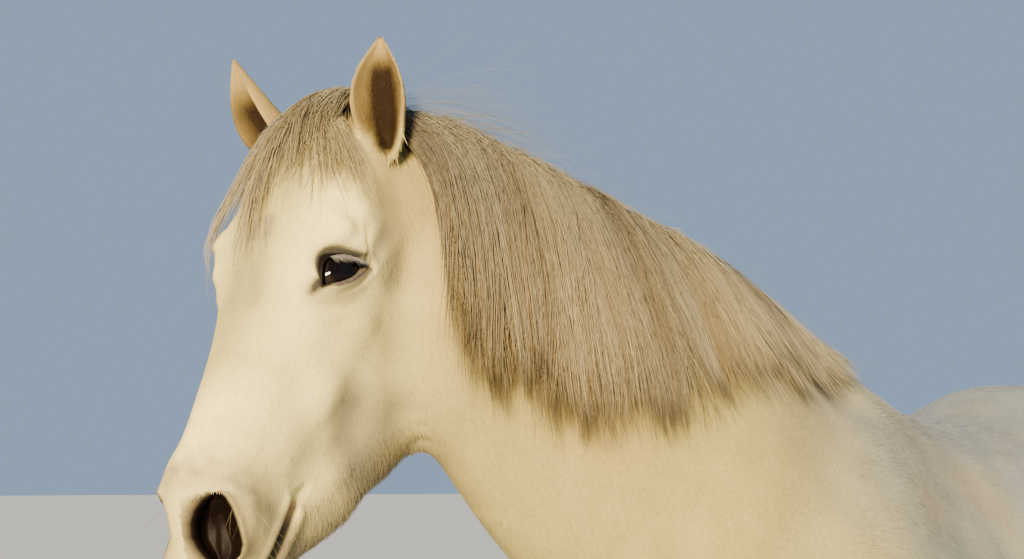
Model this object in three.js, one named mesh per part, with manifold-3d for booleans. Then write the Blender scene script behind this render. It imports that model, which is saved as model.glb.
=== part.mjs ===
// A standing grey horse of cob type, life size, as a still museum model.
// Millimetres, +Z up. The horse faces -X and its left side is towards -Y.
// The origin is on the ground, under the middle of the whole model.

import * as THREE from "three";
import { mergeVertices } from "three/addons/utils/BufferGeometryUtils.js";
import Module from "manifold-3d";

const wasm = await Module();
wasm.setup();

// ---------------------------------------------------------------- driving sizes

const GAP = 0.4; // between neighbouring pieces
const HALF_GAP = GAP / 2;
const EAR_CLEARANCE = 1.5; // between the ears and the hair round them

const HEAD_LENGTH = 577; // poll to the front of the lips
const POLL = [1119, -294, 1709]; // forward, left, up
const HEAD_TURN = THREE.MathUtils.degToRad(5.0); // to the left of straight ahead
const HEAD_DROP = THREE.MathUtils.degToRad(57.5); // face line below level
const HEAD_TILT = THREE.MathUtils.degToRad(2.5);

const EYE_RADIUS = 26;
const EYE_PLACE = { along: 208, side: 69, out: -54 };

const TRUNK_SIDES = 20;
const TRUNK_RINGS = 24;
const NECK_SIDES = 20;
const NECK_RINGS = 14;
const HEAD_SIDES = 24;
const HEAD_RINGS = 26;
const MANE_RINGS = 15;
const MANE_ROWS = 6;
const FORELOCK_RINGS = 7;
const FORELOCK_ROWS = 6;
const TAIL_SIDES = 8;
const TAIL_RINGS = 12;
const EAR_RINGS = 9;
const EAR_ARC = 7;
const LEG_SIDES = 12;
const LEG_RINGS = 19;

const FORE_FEET = { left: { forward: 20, side: 142 }, right: { forward: -34, side: 146 } };
const HIND_FEET = { left: { forward: -30, side: 150 }, right: { forward: 46, side: 146 } };

const COLOURS = {
  face: 0xe9dcc6,
  jaw: 0xe4d5bd,
  ear: 0xe3d2b4,
  eye: 0x1c120d,
  neck: 0xe6d8c0,
  trunk: 0xe2d8ca,
  upperLeg: 0xe2d6c4,
  lowerLeg: 0xd9cdbc,
  hoof: 0x4a4038,
  hair: 0xc9b48f,
};

const FORE_CUT_HEIGHT = 746; // the forearm begins below the breastbone
const KNEE_CUT_HEIGHT = 448;
const HIND_CUT_HEIGHT = 848; // the leg begins at the stifle
const STIFLE_CUT_FORWARD = -340;
const HOCK_CUT_HEIGHT = 540;
const FETLOCK_HEIGHT = 200;
const NECK_BASE = [470, 0, 1460]; // the plane from the withers to the breast
const NECK_BASE_FACING = [0.72, 0, 0.69];
const MOUTH_CORNER = { along: 431, out: -152 };
const POLL_PARTING = -14; // mane behind it, forelock in front
const FORELOCK_DEPTH = 48;

// ---------------------------------------------------------------- outlines

// Columns: forward, top, bottom, half width, height of the widest place,
// fullness of the upper half, fullness of the lower half (2 is an ellipse).
const TRUNK = [
  [-818, 1180, 1150, 14, 1165, 2.0, 2.0],
  [-800, 1250, 1070, 88, 1160, 2.0, 2.0],
  [-755, 1322, 990, 158, 1150, 2.1, 2.0],
  [-680, 1382, 940, 212, 1150, 2.3, 2.1],
  [-590, 1424, 912, 250, 1150, 2.6, 2.1],
  [-490, 1446, 890, 267, 1150, 2.8, 2.1],
  [-390, 1448, 868, 272, 1140, 2.7, 2.1],
  [-290, 1428, 828, 280, 1120, 2.5, 2.1],
  [-180, 1394, 790, 294, 1095, 2.3, 2.15],
  [-60, 1372, 766, 306, 1075, 2.15, 2.2],
  [60, 1368, 756, 305, 1065, 2.05, 2.2],
  [180, 1374, 756, 288, 1060, 1.85, 2.2],
  [300, 1406, 762, 260, 1060, 1.6, 2.2],
  [400, 1442, 772, 238, 1070, 1.5, 2.2],
  [480, 1446, 784, 230, 1080, 1.55, 2.2],
  [570, 1402, 810, 226, 1070, 1.8, 2.2],
  [650, 1330, 850, 214, 1060, 2.0, 2.2],
  [720, 1235, 905, 184, 1050, 2.0, 2.2],
  [768, 1150, 965, 132, 1050, 2.0, 2.0],
  [794, 1096, 1004, 62, 1050, 2.0, 2.0],
  [802, 1066, 1036, 14, 1050, 2.0, 2.0],
];

// Columns: share of the way to the poll, crest forward/left/up, underline forward/left/up,
// half width, share of the depth where it is widest, fullness above and below.
const NECK = [
  [0.0, 330, 0, 1390, 560, 0, 860, 150, 0.55, 1.7, 2.2],
  [0.15, 448, -8, 1444, 740, -40, 1010, 168, 0.56, 1.6, 2.2],
  [0.31, 575, -62, 1524, 842, -118, 1110, 150, 0.56, 1.6, 2.1],
  [0.47, 690, -112, 1584, 914, -165, 1186, 126, 0.56, 1.6, 2.0],
  [0.63, 812, -165, 1636, 956, -190, 1242, 106, 0.55, 1.7, 2.0],
  [0.77, 930, -215, 1682, 988, -208, 1290, 94, 0.55, 1.8, 2.0],
  [0.9, 1046, -264, 1704, 1028, -232, 1340, 84, 0.55, 1.9, 2.0],
  [1.0, 1104, -288, 1690, 1082, -262, 1440, 60, 0.55, 1.9, 2.0],
];

// Columns: distance from the poll, face line, jaw line, half widths at the forehead plane,
// the cheekbone, the cheek, the jowl and the edge of the jaw.
const HEAD = [
  [-45, -62, -160, 20, 35, 40, 35, 18],
  [-15, -16, -228, 38, 58, 70, 66, 34],
  [20, 4, -280, 46, 72, 84, 82, 50],
  [70, 12, -310, 58, 84, 92, 90, 58],
  [120, 15, -328, 72, 94, 95, 91, 58],
  [165, 13, -336, 84, 101, 94, 88, 56],
  [205, 9, -340, 80, 99, 91, 83, 54],
  [245, 2, -334, 56, 80, 85, 76, 52],
  [310, -8, -306, 43, 68, 72, 64, 46],
  [375, -15, -266, 37, 63, 60, 51, 40],
  [430, -20, -232, 33, 55, 53, 44, 36],
  [485, -30, -194, 32, 58, 56, 44, 33],
  [515, -52, -178, 29, 50, 54, 43, 32],
  [540, -77, -169, 25, 41, 47, 38, 28],
  [560, -99, -160, 19, 31, 36, 29, 21],
  [573, -117, -145, 9, 16, 19, 15, 9],
];
const LIPS_OUT = -127; // level of the foremost point of the lips
const LIPS_CLOSING = 0.9; // how far the last ring draws in to that point
// Depth of each corner below the face line, as a share of the head's depth there.
const HEAD_LEVELS = { forehead: 0.08, cheekbone: 0.2, cheek: 0.48, jowl: 0.74, jaw: 0.93 };

// Columns: height, front line, back line, half width inside, half width outside, side shift.
const FORELEG = [
  [1030, 610, 370, 40, 36, 10],
  [940, 606, 340, 56, 62, 16],
  [860, 570, 338, 62, 72, 14],
  [780, 532, 366, 58, 65, 8],
  [700, 512, 392, 52, 56, 4],
  [610, 498, 412, 45, 48, 2],
  [530, 490, 424, 40, 42, 0],
  [485, 496, 420, 44, 45, 0],
  [450, 500, 414, 46, 47, 0],
  [412, 492, 420, 42, 42, 0],
  [378, 482, 424, 33, 33, 0],
  [310, 480, 426, 28, 28, 0],
  [240, 480, 422, 29, 29, 0],
  [200, 490, 412, 35, 35, 0],
  [170, 500, 414, 38, 38, 0],
  [140, 508, 432, 34, 34, 0],
  [112, 530, 458, 33, 33, 0],
  [80, 576, 476, 44, 44, 0],
  [52, 596, 490, 50, 50, 0],
];
const HINDLEG = [
  [1250, -520, -720, 50, 50, 6],
  [1160, -400, -772, 84, 84, 16],
  [1070, -322, -778, 98, 98, 22],
  [990, -298, -758, 96, 98, 20],
  [915, -302, -726, 86, 91, 18],
  [850, -348, -704, 74, 80, 12],
  [780, -428, -700, 64, 68, 6],
  [710, -512, -708, 53, 55, 2],
  [650, -586, -738, 44, 45, 0],
  [600, -634, -784, 42, 42, 0],
  [560, -656, -792, 44, 44, 0],
  [510, -672, -782, 45, 45, 0],
  [465, -684, -772, 39, 39, 0],
  [420, -696, -766, 31, 31, 0],
  [330, -702, -766, 27, 27, 0],
  [240, -702, -770, 29, 29, 0],
  [205, -694, -780, 35, 35, 0],
  [172, -684, -776, 38, 38, 0],
  [142, -678, -758, 34, 34, 0],
  [114, -660, -732, 33, 33, 0],
  [82, -618, -712, 42, 42, 0],
  [52, -600, -700, 47, 47, 0],
];

// The coronet plane and the hoof under it, from the toe back.
const FORE_HOOF = { coronetToe: 574, coronetHeel: 474, toe: 640, heel: 492, halfWidth: 63 };
const HIND_HOOF = { coronetToe: -610, coronetHeel: -708, toe: -548, heel: -690, halfWidth: 59 };
const CORONET_TOE_HEIGHT = 78;
const CORONET_HEEL_HEIGHT = 44;
const CORONET_HALF_WIDTH = 50;
const HOOF_SIDES = 14;
const HOOF_EDGE = 4; // rounding where the wall meets the ground

// Columns: share of the way down, centre forward/left/up, half width, half thickness.
const TAIL = [
  [0.0, -700, 0, 1330, 34, 30],
  [0.07, -768, 2, 1318, 40, 34],
  [0.14, -818, 5, 1272, 48, 40],
  [0.24, -850, 8, 1170, 66, 44],
  [0.42, -866, 10, 960, 88, 48],
  [0.62, -862, 8, 720, 96, 46],
  [0.82, -856, 2, 480, 84, 40],
  [0.95, -850, -6, 320, 48, 28],
  [1.0, -848, -10, 250, 12, 10],
];

// Columns: share of the neck's way, hair length down the left side, thickness.
const MANE = [
  [0.1, 30, 12],
  [0.15, 85, 18],
  [0.22, 150, 22],
  [0.31, 205, 28],
  [0.41, 270, 30],
  [0.48, 335, 32],
  [0.57, 340, 32],
  [0.66, 325, 32],
  [0.73, 310, 30],
  [0.79, 290, 28],
  [0.85, 262, 26],
  [0.89, 205, 22],
  [0.93, 120, 14],
];

const MANE_RIGHT_EDGE = 34; // how far the mane reaches over to the right of the crest
const HAIR_ROOT = 14; // hair is first made this deep into the body, which is then cut away
const HAIR_EDGE = 0.25; // thickness at the edge, as a share of the full thickness
const HAIR_SWELL = 2.4; // how soon the full thickness is reached from the edge

// Columns: share of the ear's height, width, depth of the cup, thickness of the shell.
const EAR = [
  [0.0, 50, 40, 20],
  [0.14, 55, 40, 15],
  [0.3, 60, 36, 9],
  [0.48, 58, 30, 6],
  [0.66, 47, 22, 5],
  [0.82, 32, 14, 5],
  [0.93, 17, 8, 4.5],
  [1.0, 6, 5, 4],
];
const EAR_RIM = 4;
const EAR_RIM_SHARE = 0.3; // thickness of the shell at its rim, as a share of the rest
// Places on the head of each ear's root and tip, and the way its hollow faces.
const EARS = {
  left: { base: [16, 64, -46], tip: [-80, 66, 21], opening: [0.3, 0.35, 0.88] },
  right: { base: [16, -64, -46], tip: [-56, -120, 48], opening: [0.35, 0.1, 0.93] },
};

// ---------------------------------------------------------------- tools

// A place given as forward, left and up, in the model's own axes.
const place = (forward, left, up) => new THREE.Vector3(-forward, -left, up);

// Values of every column at x, on smooth curves through the rows of a table.
function columnsAt(table, x) {
  const last = table.length - 1;
  const t = THREE.MathUtils.clamp(x, table[0][0], table[last][0]);
  let i = 0;
  while (i < last - 1 && table[i + 1][0] < t) i += 1;
  const before = table[Math.max(i - 1, 0)];
  const from = table[i];
  const to = table[i + 1];
  const after = table[Math.min(i + 2, last)];
  const span = to[0] - from[0];
  const u = (t - from[0]) / span;
  return from.slice(1).map((value, k) => {
    const column = k + 1;
    const slopeFrom = ((to[column] - before[column]) / (to[0] - before[0])) * span;
    const slopeTo = ((after[column] - value) / (after[0] - from[0])) * span;
    const change = to[column] - value;
    return (
      value +
      u * slopeFrom +
      u * u * (3 * change - 2 * slopeFrom - slopeTo) +
      u * u * u * (slopeFrom + slopeTo - 2 * change)
    );
  });
}

// A closed body through rings of points that have the same count.
function loft(rings) {
  const count = rings[0].length;
  const points = rings.flat();
  const ends = [rings[0], rings[rings.length - 1]].map((ring) =>
    ring.reduce((sum, p) => sum.add(p), new THREE.Vector3()).divideScalar(count),
  );
  const faces = [];
  for (let r = 0; r + 1 < rings.length; r += 1) {
    for (let k = 0; k < count; k += 1) {
      const next = (k + 1) % count;
      const a = r * count + k;
      const b = r * count + next;
      const c = a + count;
      const d = b + count;
      faces.push(a, b, d, a, d, c);
    }
  }
  const firstEnd = points.length;
  const lastEnd = firstEnd + 1;
  const lastRing = (rings.length - 1) * count;
  for (let k = 0; k < count; k += 1) {
    const next = (k + 1) % count;
    faces.push(firstEnd, next, k, lastEnd, lastRing + k, lastRing + next);
  }
  const geometry = new THREE.BufferGeometry().setFromPoints([...points, ...ends]);
  geometry.setIndex(faces);
  return geometry;
}

// A three.js geometry as a manifold solid, turned to face outwards.
function solid(geometry) {
  const bare = geometry.clone();
  bare.deleteAttribute("normal");
  bare.deleteAttribute("uv");
  const merged = mergeVertices(bare, 1e-4);
  const triVerts = new Uint32Array(merged.index.array);
  const vertProperties = new Float32Array(merged.attributes.position.array);
  const made = new wasm.Manifold(new wasm.Mesh({ numProp: 3, vertProperties, triVerts }));
  if (made.volume() > 0) return made;
  for (let i = 0; i < triVerts.length; i += 3) {
    [triVerts[i + 1], triVerts[i + 2]] = [triVerts[i + 2], triVerts[i + 1]];
  }
  return new wasm.Manifold(new wasm.Mesh({ numProp: 3, vertProperties, triVerts }));
}

// The largest body of a manifold solid as a geometry, without stray slivers.
function geometryOf(made) {
  const body = made.decompose().reduce((a, b) => (a.volume() > b.volume() ? a : b));
  const mesh = body.getMesh();
  const geometry = new THREE.BufferGeometry();
  geometry.setAttribute("position", new THREE.BufferAttribute(mesh.vertProperties, mesh.numProp));
  geometry.setIndex(new THREE.BufferAttribute(mesh.triVerts, 1));
  return geometry;
}

// Everything on the side of a plane that its direction points to, as a large block.
const BLOCK = 5000;
function sideOf(point, direction, shift = 0) {
  const block = new THREE.BoxGeometry(BLOCK, BLOCK, BLOCK).translate(0, 0, BLOCK / 2 + shift);
  const turn = new THREE.Quaternion().setFromUnitVectors(
    new THREE.Vector3(0, 0, 1),
    direction.clone().normalize(),
  );
  return solid(block.applyQuaternion(turn).translate(point.x, point.y, point.z));
}

// Point of a rounded outline at an angle: above its centre one fullness, below it another.
function onOutline(angle, half, above, below, fullAbove, fullBelow) {
  const across = Math.cos(angle);
  const upright = Math.sin(angle);
  const full = upright >= 0 ? fullAbove : fullBelow;
  const height = upright >= 0 ? above : below;
  return {
    across: Math.sign(across) * Math.abs(across) ** (2 / full) * half,
    upright: Math.sign(upright) * Math.abs(upright) ** (2 / full) * height,
  };
}

const WAY_STEP = 0.02; // share of a length over which its direction is taken
const steps = (count) => Array.from({ length: count }, (_, i) => i);
const share = (i, count) => i / (count - 1);

// ---------------------------------------------------------------- trunk and neck

function trunkRing(forward, grow) {
  const [top, bottom, half, widest, fullAbove, fullBelow] = columnsAt(TRUNK, forward);
  return steps(TRUNK_SIDES).map((k) => {
    const angle = (2 * Math.PI * k) / TRUNK_SIDES;
    const above = top - widest + grow;
    const below = widest - bottom + grow;
    const p = onOutline(angle, half + grow, above, below, fullAbove, fullBelow);
    return place(forward, p.across, widest + p.upright);
  });
}

function trunkSolid(grow = 0) {
  const back = TRUNK[0][0];
  const front = TRUNK[TRUNK.length - 1][0];
  const rings = steps(TRUNK_RINGS).map((i) => {
    const along = (1 - Math.cos(Math.PI * share(i, TRUNK_RINGS))) / 2;
    const even = share(i, TRUNK_RINGS);
    return trunkRing(THREE.MathUtils.lerp(back, front, (along + even) / 2), grow);
  });
  return solid(loft(rings));
}

// The neck's frame at a share of its way: crest and underline points and the left direction.
function neckFrame(way) {
  const row = columnsAt(NECK, way);
  const ahead = columnsAt(NECK, Math.min(way + WAY_STEP, 1));
  const behind = columnsAt(NECK, Math.max(way - WAY_STEP, 0));
  const middle = (r) => place(r[0] + r[3], r[1] + r[4], r[2] + r[5]).divideScalar(2);
  const crest = place(row[0], row[1], row[2]);
  const under = place(row[3], row[4], row[5]);
  const onward = middle(ahead).sub(middle(behind));
  const upward = crest.clone().sub(under).normalize();
  const left = upward.clone().cross(onward).normalize();
  return { crest, under, upward, left, half: row[6], widest: row[7], fulls: [row[8], row[9]] };
}

// A point on the neck's surface; angle 0 is its left side and a quarter turn its crest.
function onNeck(way, angle, grow) {
  const f = neckFrame(way);
  const depth = f.crest.distanceTo(f.under);
  const above = depth * f.widest + grow;
  const below = depth * (1 - f.widest) + grow;
  const p = onOutline(angle, f.half + grow, above, below, ...f.fulls);
  return f.under
    .clone()
    .addScaledVector(f.upward, depth * (1 - f.widest) + p.upright)
    .addScaledVector(f.left, p.across);
}

function neckSolid(grow = 0) {
  const rings = steps(NECK_RINGS).map((i) =>
    steps(NECK_SIDES).map((k) =>
      onNeck(share(i, NECK_RINGS), (2 * Math.PI * k) / NECK_SIDES, grow),
    ),
  );
  return solid(loft(rings));
}

// ---------------------------------------------------------------- head

const headAxes = (() => {
  const cos = Math.cos(HEAD_DROP);
  const along = place(cos * Math.cos(HEAD_TURN), cos * Math.sin(HEAD_TURN), -Math.sin(HEAD_DROP));
  const level = place(-Math.sin(HEAD_TURN), Math.cos(HEAD_TURN), 0);
  const tilt = new THREE.Quaternion().setFromAxisAngle(along, HEAD_TILT);
  const side = level.applyQuaternion(tilt);
  const out = along.clone().cross(side);
  return { along, side, out };
})();

// A place on the head: distance from the poll, to the left, and out from the face line.
const onHead = (along, side, out) =>
  place(...POLL)
    .addScaledVector(headAxes.along, along)
    .addScaledVector(headAxes.side, side)
    .addScaledVector(headAxes.out, out);

function headRing(along, grow) {
  const [face, jaw, ...halves] = columnsAt(HEAD, along);
  const depth = face - jaw;
  const levels = Object.values(HEAD_LEVELS);
  const corners = halves.map((half, i) => [half + grow, face - levels[i] * depth]);
  const left = [[0, face + grow], ...corners, [0, jaw - grow]];
  const right = corners.map(([half, level]) => [-half, level]).reverse();
  const outline = new THREE.CatmullRomCurve3(
    [...left, ...right].map(([side, out]) => onHead(along, side, out)),
    true,
    "centripetal",
  );
  return steps(HEAD_SIDES).map((i) => outline.getPoint(i / HEAD_SIDES));
}

function headSolid(grow = 0) {
  const back = HEAD[0][0] - grow;
  const front = HEAD[HEAD.length - 1][0];
  const rings = steps(HEAD_RINGS).map((i) => {
    const even = share(i, HEAD_RINGS);
    const eased = (1 - Math.cos(Math.PI * even)) / 2;
    return headRing(THREE.MathUtils.lerp(back, front, (even + eased) / 2), grow);
  });
  const lips = onHead(HEAD_LENGTH + grow, 0, LIPS_OUT);
  rings.push(rings[rings.length - 1].map((p) => p.clone().lerp(lips, LIPS_CLOSING)));
  return solid(loft(rings));
}

// The gap between the lids, which runs from the inner corner, near the muzzle, to the outer one.
const EYE_OPENING = { inner: [238, 79, -37], outer: [180, 96, -68], halfHeight: 15, depth: 14 };
function eyeOpening(side) {
  const [inner, outer] = [EYE_OPENING.inner, EYE_OPENING.outer].map(([along, across, out]) =>
    onHead(along, side * across, out),
  );
  const length = inner.clone().sub(outer);
  const along = length.clone().normalize();
  const deep = headAxes.side.clone().addScaledVector(along, -headAxes.side.dot(along)).normalize();
  const high = deep.clone().cross(along);
  const slot = new THREE.SphereGeometry(1, 10, 6);
  slot.scale(length.length() / 2, EYE_OPENING.halfHeight, EYE_OPENING.depth);
  slot.applyMatrix4(new THREE.Matrix4().makeBasis(along, high, deep));
  const middle = inner.add(outer).divideScalar(2);
  return solid(slot.translate(middle.x, middle.y, middle.z));
}

function eyeBall(side, grow = 0) {
  const centre = onHead(EYE_PLACE.along, side * EYE_PLACE.side, EYE_PLACE.out);
  const ball = new THREE.SphereGeometry(EYE_RADIUS + grow, 12, 8);
  return solid(ball.translate(centre.x, centre.y, centre.z));
}

// A hollow that runs into the muzzle from its side.
const NOSTRIL = { along: 511, side: 45, out: -68, length: 30, width: 18, deep: 20, slant: 0.5 };
function nostrilHollow(side) {
  const hollow = new THREE.SphereGeometry(1, 10, 6);
  const lie = new THREE.Matrix4().makeBasis(
    headAxes.along.clone().addScaledVector(headAxes.out, -NOSTRIL.slant).normalize(),
    headAxes.out.clone().addScaledVector(headAxes.along, NOSTRIL.slant).normalize(),
    headAxes.side.clone(),
  );
  const size = new THREE.Matrix4().makeScale(NOSTRIL.length, NOSTRIL.width, NOSTRIL.deep);
  const centre = onHead(NOSTRIL.along, side * NOSTRIL.side, NOSTRIL.out);
  hollow.applyMatrix4(size).applyMatrix4(lie).translate(centre.x, centre.y, centre.z);
  return solid(hollow);
}

// ---------------------------------------------------------------- ears

// An ear as a cupped shell, or filled and grown, as the room that hair leaves it.
function earSolid({ base, tip, opening }, grow = 0) {
  const root = onHead(...base);
  const axis = onHead(...tip).sub(root);
  const height = axis.length();
  const up = axis.clone().normalize();
  const wanted = onHead(...opening).sub(place(...POLL));
  const ahead = wanted.addScaledVector(up, -wanted.dot(up)).normalize();
  const across = ahead.clone().cross(up).normalize();
  const rings = steps(EAR_RINGS).map((i) => {
    const way = share(i, EAR_RINGS);
    const [width, cup, shell] = columnsAt(EAR, way);
    const rise = way * (height + 2 * grow) - grow;
    const centre = root.clone().addScaledVector(up, rise).addScaledVector(ahead, cup / 2);
    const back = steps(EAR_ARC).map((k) => {
      const angle = Math.PI * (0.5 - share(k, EAR_ARC));
      return [Math.sin(angle) * (width / 2 + grow), -Math.cos(angle) * (cup + grow)];
    });
    const inside = back.slice(1, -1).reverse();
    const front = inside.map(([x, y]) => {
      if (grow > 0) return [x, grow];
      const narrowed = x * (1 - shell / (width / 2 + EAR_RIM));
      return [narrowed, y + shell * Math.min(1, EAR_RIM_SHARE - y / cup)];
    });
    return [...back, ...front].map(([x, y]) =>
      centre.clone().addScaledVector(across, x).addScaledVector(ahead, y),
    );
  });
  return solid(loft(rings));
}

// ---------------------------------------------------------------- legs and hooves

function legSolid(table, foot, side, grow = 0) {
  const top = table[0][0];
  const bottom = table[table.length - 1][0];
  const byHeight = [...table].reverse();
  const rings = steps(LEG_RINGS).map((i) => {
    const height = THREE.MathUtils.lerp(top, bottom, share(i, LEG_RINGS));
    const [front, back, inside, outside, shift] = columnsAt(byHeight, height);
    const swing = foot.forward * THREE.MathUtils.clamp((top - height) / (top - FETLOCK_HEIGHT), 0, 1);
    const middle = (front + back) / 2 + swing;
    const centre = foot.side + shift;
    return steps(LEG_SIDES).map((k) => {
      const angle = (2 * Math.PI * k) / LEG_SIDES;
      const out = Math.sin(angle);
      const half = (out > 0 ? outside : inside) + grow;
      const reach = ((front - back) / 2 + grow) * Math.cos(angle);
      return place(middle + reach, side * (centre + out * half), height);
    });
  });
  return solid(loft(rings));
}

// The plane of the coronet: a point on it and the direction up the pastern.
function coronet(hoof, foot, side) {
  const middle = (hoof.coronetToe + hoof.coronetHeel) / 2 + foot.forward;
  const height = (CORONET_TOE_HEIGHT + CORONET_HEEL_HEIGHT) / 2;
  const length = hoof.coronetToe - hoof.coronetHeel;
  const rise = CORONET_TOE_HEIGHT - CORONET_HEEL_HEIGHT;
  return {
    point: place(middle, side * foot.side, height),
    upward: place(-rise, 0, length).normalize(),
  };
}

function hoofSolid(hoof, foot, side) {
  const ring = (toe, heel, toeHeight, heelHeight, half) =>
    steps(HOOF_SIDES).map((k) => {
      const angle = (2 * Math.PI * k) / HOOF_SIDES;
      const ahead = (1 + Math.cos(angle)) / 2;
      const forward = THREE.MathUtils.lerp(heel, toe, ahead) + foot.forward;
      const height = THREE.MathUtils.lerp(heelHeight, toeHeight, ahead);
      return place(forward, side * (foot.side + Math.sin(angle) * half), height);
    });
  const { coronetToe, coronetHeel, toe, heel, halfWidth } = hoof;
  const rings = [
    ring(toe - HOOF_EDGE, heel + HOOF_EDGE, 0, 0, halfWidth - HOOF_EDGE),
    ring(toe - 1, heel, HOOF_EDGE, HOOF_EDGE, halfWidth),
    ring(coronetToe, coronetHeel, CORONET_TOE_HEIGHT, CORONET_HEEL_HEIGHT, CORONET_HALF_WIDTH),
  ];
  return solid(loft(rings));
}

// ---------------------------------------------------------------- hair

function tailSolid() {
  const rings = steps(TAIL_RINGS).map((i) => {
    const way = share(i, TAIL_RINGS);
    const [forward, left, up, half, thick] = columnsAt(TAIL, way);
    const next = columnsAt(TAIL, Math.min(way + WAY_STEP, 1));
    const last = columnsAt(TAIL, Math.max(way - WAY_STEP, 0));
    const down = place(next[0] - last[0], 0, next[2] - last[2]).normalize();
    const across = place(0, 1, 0);
    const out = across.clone().cross(down).normalize();
    return steps(TAIL_SIDES).map((k) => {
      const angle = (2 * Math.PI * k) / TAIL_SIDES;
      return place(forward, left, up)
        .addScaledVector(across, Math.cos(angle) * half)
        .addScaledVector(out, Math.sin(angle) * thick);
    });
  });
  return solid(loft(rings));
}

// Angle on the neck's outline at a distance over the surface from the crest.
const TURN_STEP = 0.02;
function angleFromCrest(way, distance) {
  const turn = -Math.sign(distance) * TURN_STEP;
  let angle = Math.PI / 2;
  let here = onNeck(way, angle, 0);
  let walked = 0;
  while (walked < Math.abs(distance)) {
    angle += turn;
    const next = onNeck(way, angle, 0);
    walked += next.distanceTo(here);
    here = next;
  }
  return angle;
}

// The mane lies over the crest and down the left side of the neck.
function maneSolid() {
  const rows = MANE_ROWS;
  const lastRow = MANE.length - 1;
  const rings = steps(MANE_RINGS).map((i) => {
    const way = THREE.MathUtils.lerp(MANE[0][0], MANE[lastRow][0], share(i, MANE_RINGS));
    const [length, thick] = columnsAt(MANE, way);
    const start = angleFromCrest(way, -MANE_RIGHT_EDGE);
    const end = angleFromCrest(way, length);
    const outer = steps(rows).map((k) => {
      const across = share(k, rows);
      const full = Math.min(1, HAIR_EDGE + HAIR_SWELL * Math.sqrt(across * (1 - across)));
      return onNeck(way, THREE.MathUtils.lerp(start, end, across), thick * full);
    });
    const inner = steps(rows).map((k) =>
      onNeck(way, THREE.MathUtils.lerp(end, start, share(k, rows)), -HAIR_ROOT),
    );
    return [...outer, ...inner];
  });
  return solid(loft(rings));
}

// Columns: distance from the poll, half width to the left and to the right, thickness.
const FORELOCK = [
  [-30, 40, 40, 16],
  [10, 44, 48, 22],
  [60, 50, 62, 18],
  [110, 44, 70, 13],
  [150, 24, 62, 9],
  [170, 8, 40, 5],
];
const BROW_DROP = 0.25; // how far the brow falls at its sides, as a share of the head's depth
const BROW_FULLNESS = 2.6;
function forelockSolid() {
  const count = FORELOCK_ROWS;
  const lastRow = FORELOCK.length - 1;
  const rings = steps(FORELOCK_RINGS).map((i) => {
    const way = share(i, FORELOCK_RINGS);
    const along = THREE.MathUtils.lerp(FORELOCK[0][0], FORELOCK[lastRow][0], way);
    const [left, right, thick] = columnsAt(FORELOCK, along);
    const [face, jaw, , cheekbone] = columnsAt(HEAD, along);
    const surface = (side) => {
      const edge = Math.min(Math.abs(side) / cheekbone, 1);
      return face - (face - jaw) * BROW_DROP * (1 - Math.sqrt(1 - edge ** BROW_FULLNESS));
    };
    const outer = steps(count).map((k) => {
      const side = THREE.MathUtils.lerp(left, -right, share(k, count));
      const rounded = THREE.MathUtils.lerp(HAIR_EDGE, 1, Math.sin(Math.PI * share(k, count)));
      return onHead(along, side, surface(side) + thick * rounded);
    });
    const inner = steps(count).map((k) => {
      const side = THREE.MathUtils.lerp(-right, left, share(k, count));
      return onHead(along, side, surface(side) - HAIR_ROOT);
    });
    return [...outer, ...inner];
  });
  return solid(loft(rings));
}

// ---------------------------------------------------------------- the whole body, then its parts

function fleshSolid(grow = 0) {
  let flesh = trunkSolid(grow).add(neckSolid(grow)).add(headSolid(grow));
  for (const [name, side] of [["left", 1], ["right", -1]]) {
    flesh = flesh.add(legSolid(FORELEG, FORE_FEET[name], side, grow));
    flesh = flesh.add(legSolid(HINDLEG, HIND_FEET[name], side, grow));
  }
  return flesh;
}

// Cutting planes as large blocks that hold everything on one side of them.
const above = (height) => sideOf(place(0, 0, height), place(0, 0, 1), HALF_GAP);
const below = (height) => sideOf(place(0, 0, height), place(0, 0, -1), HALF_GAP);
const behindStifle = () => sideOf(place(STIFLE_CUT_FORWARD, 0, 0), place(-1, 0, 0), HALF_GAP);
const aheadOfNeckBase = () => sideOf(place(...NECK_BASE), place(...NECK_BASE_FACING), HALF_GAP);
const behindNeckBase = () => {
  const facing = place(...NECK_BASE_FACING).negate();
  return sideOf(place(...NECK_BASE), facing, HALF_GAP);
};
const mouthPlane = (towards) => {
  const line = onHead(HEAD_LENGTH, 0, LIPS_OUT).sub(onHead(MOUTH_CORNER.along, 0, MOUTH_CORNER.out));
  const facing = headAxes.side.clone().cross(line).multiplyScalar(-towards);
  return sideOf(onHead(HEAD_LENGTH, 0, LIPS_OUT), facing, HALF_GAP);
};

const root = new THREE.Group();
function addPart(name, made, finish) {
  const mesh = new THREE.Mesh(geometryOf(made), finish);
  mesh.name = name;
  root.add(mesh);
}

const material = (color, roughness) => new THREE.MeshStandardMaterial({ color, roughness });
const SIDES = { left: 1, right: -1 };

const flesh = fleshSolid();
const grownFlesh = fleshSolid(GAP);
const grownHead = headSolid(GAP);

function addHead() {
  let skull = headSolid();
  for (const side of Object.values(SIDES)) {
    skull = skull.subtract(eyeBall(side, GAP)).subtract(eyeOpening(side));
    skull = skull.subtract(nostrilHollow(side));
  }
  addPart("head", skull.intersect(mouthPlane(1)), material(COLOURS.face, 0.85));
  addPart("lower_jaw", skull.intersect(mouthPlane(-1)), material(COLOURS.jaw, 0.85));
  for (const [name, side] of Object.entries(SIDES)) {
    addPart(`eye_${name}`, eyeBall(side), material(COLOURS.eye, 0.15));
    addPart(`ear_${name}`, earSolid(EARS[name]).subtract(grownHead), material(COLOURS.ear, 0.9));
  }
}

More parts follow.
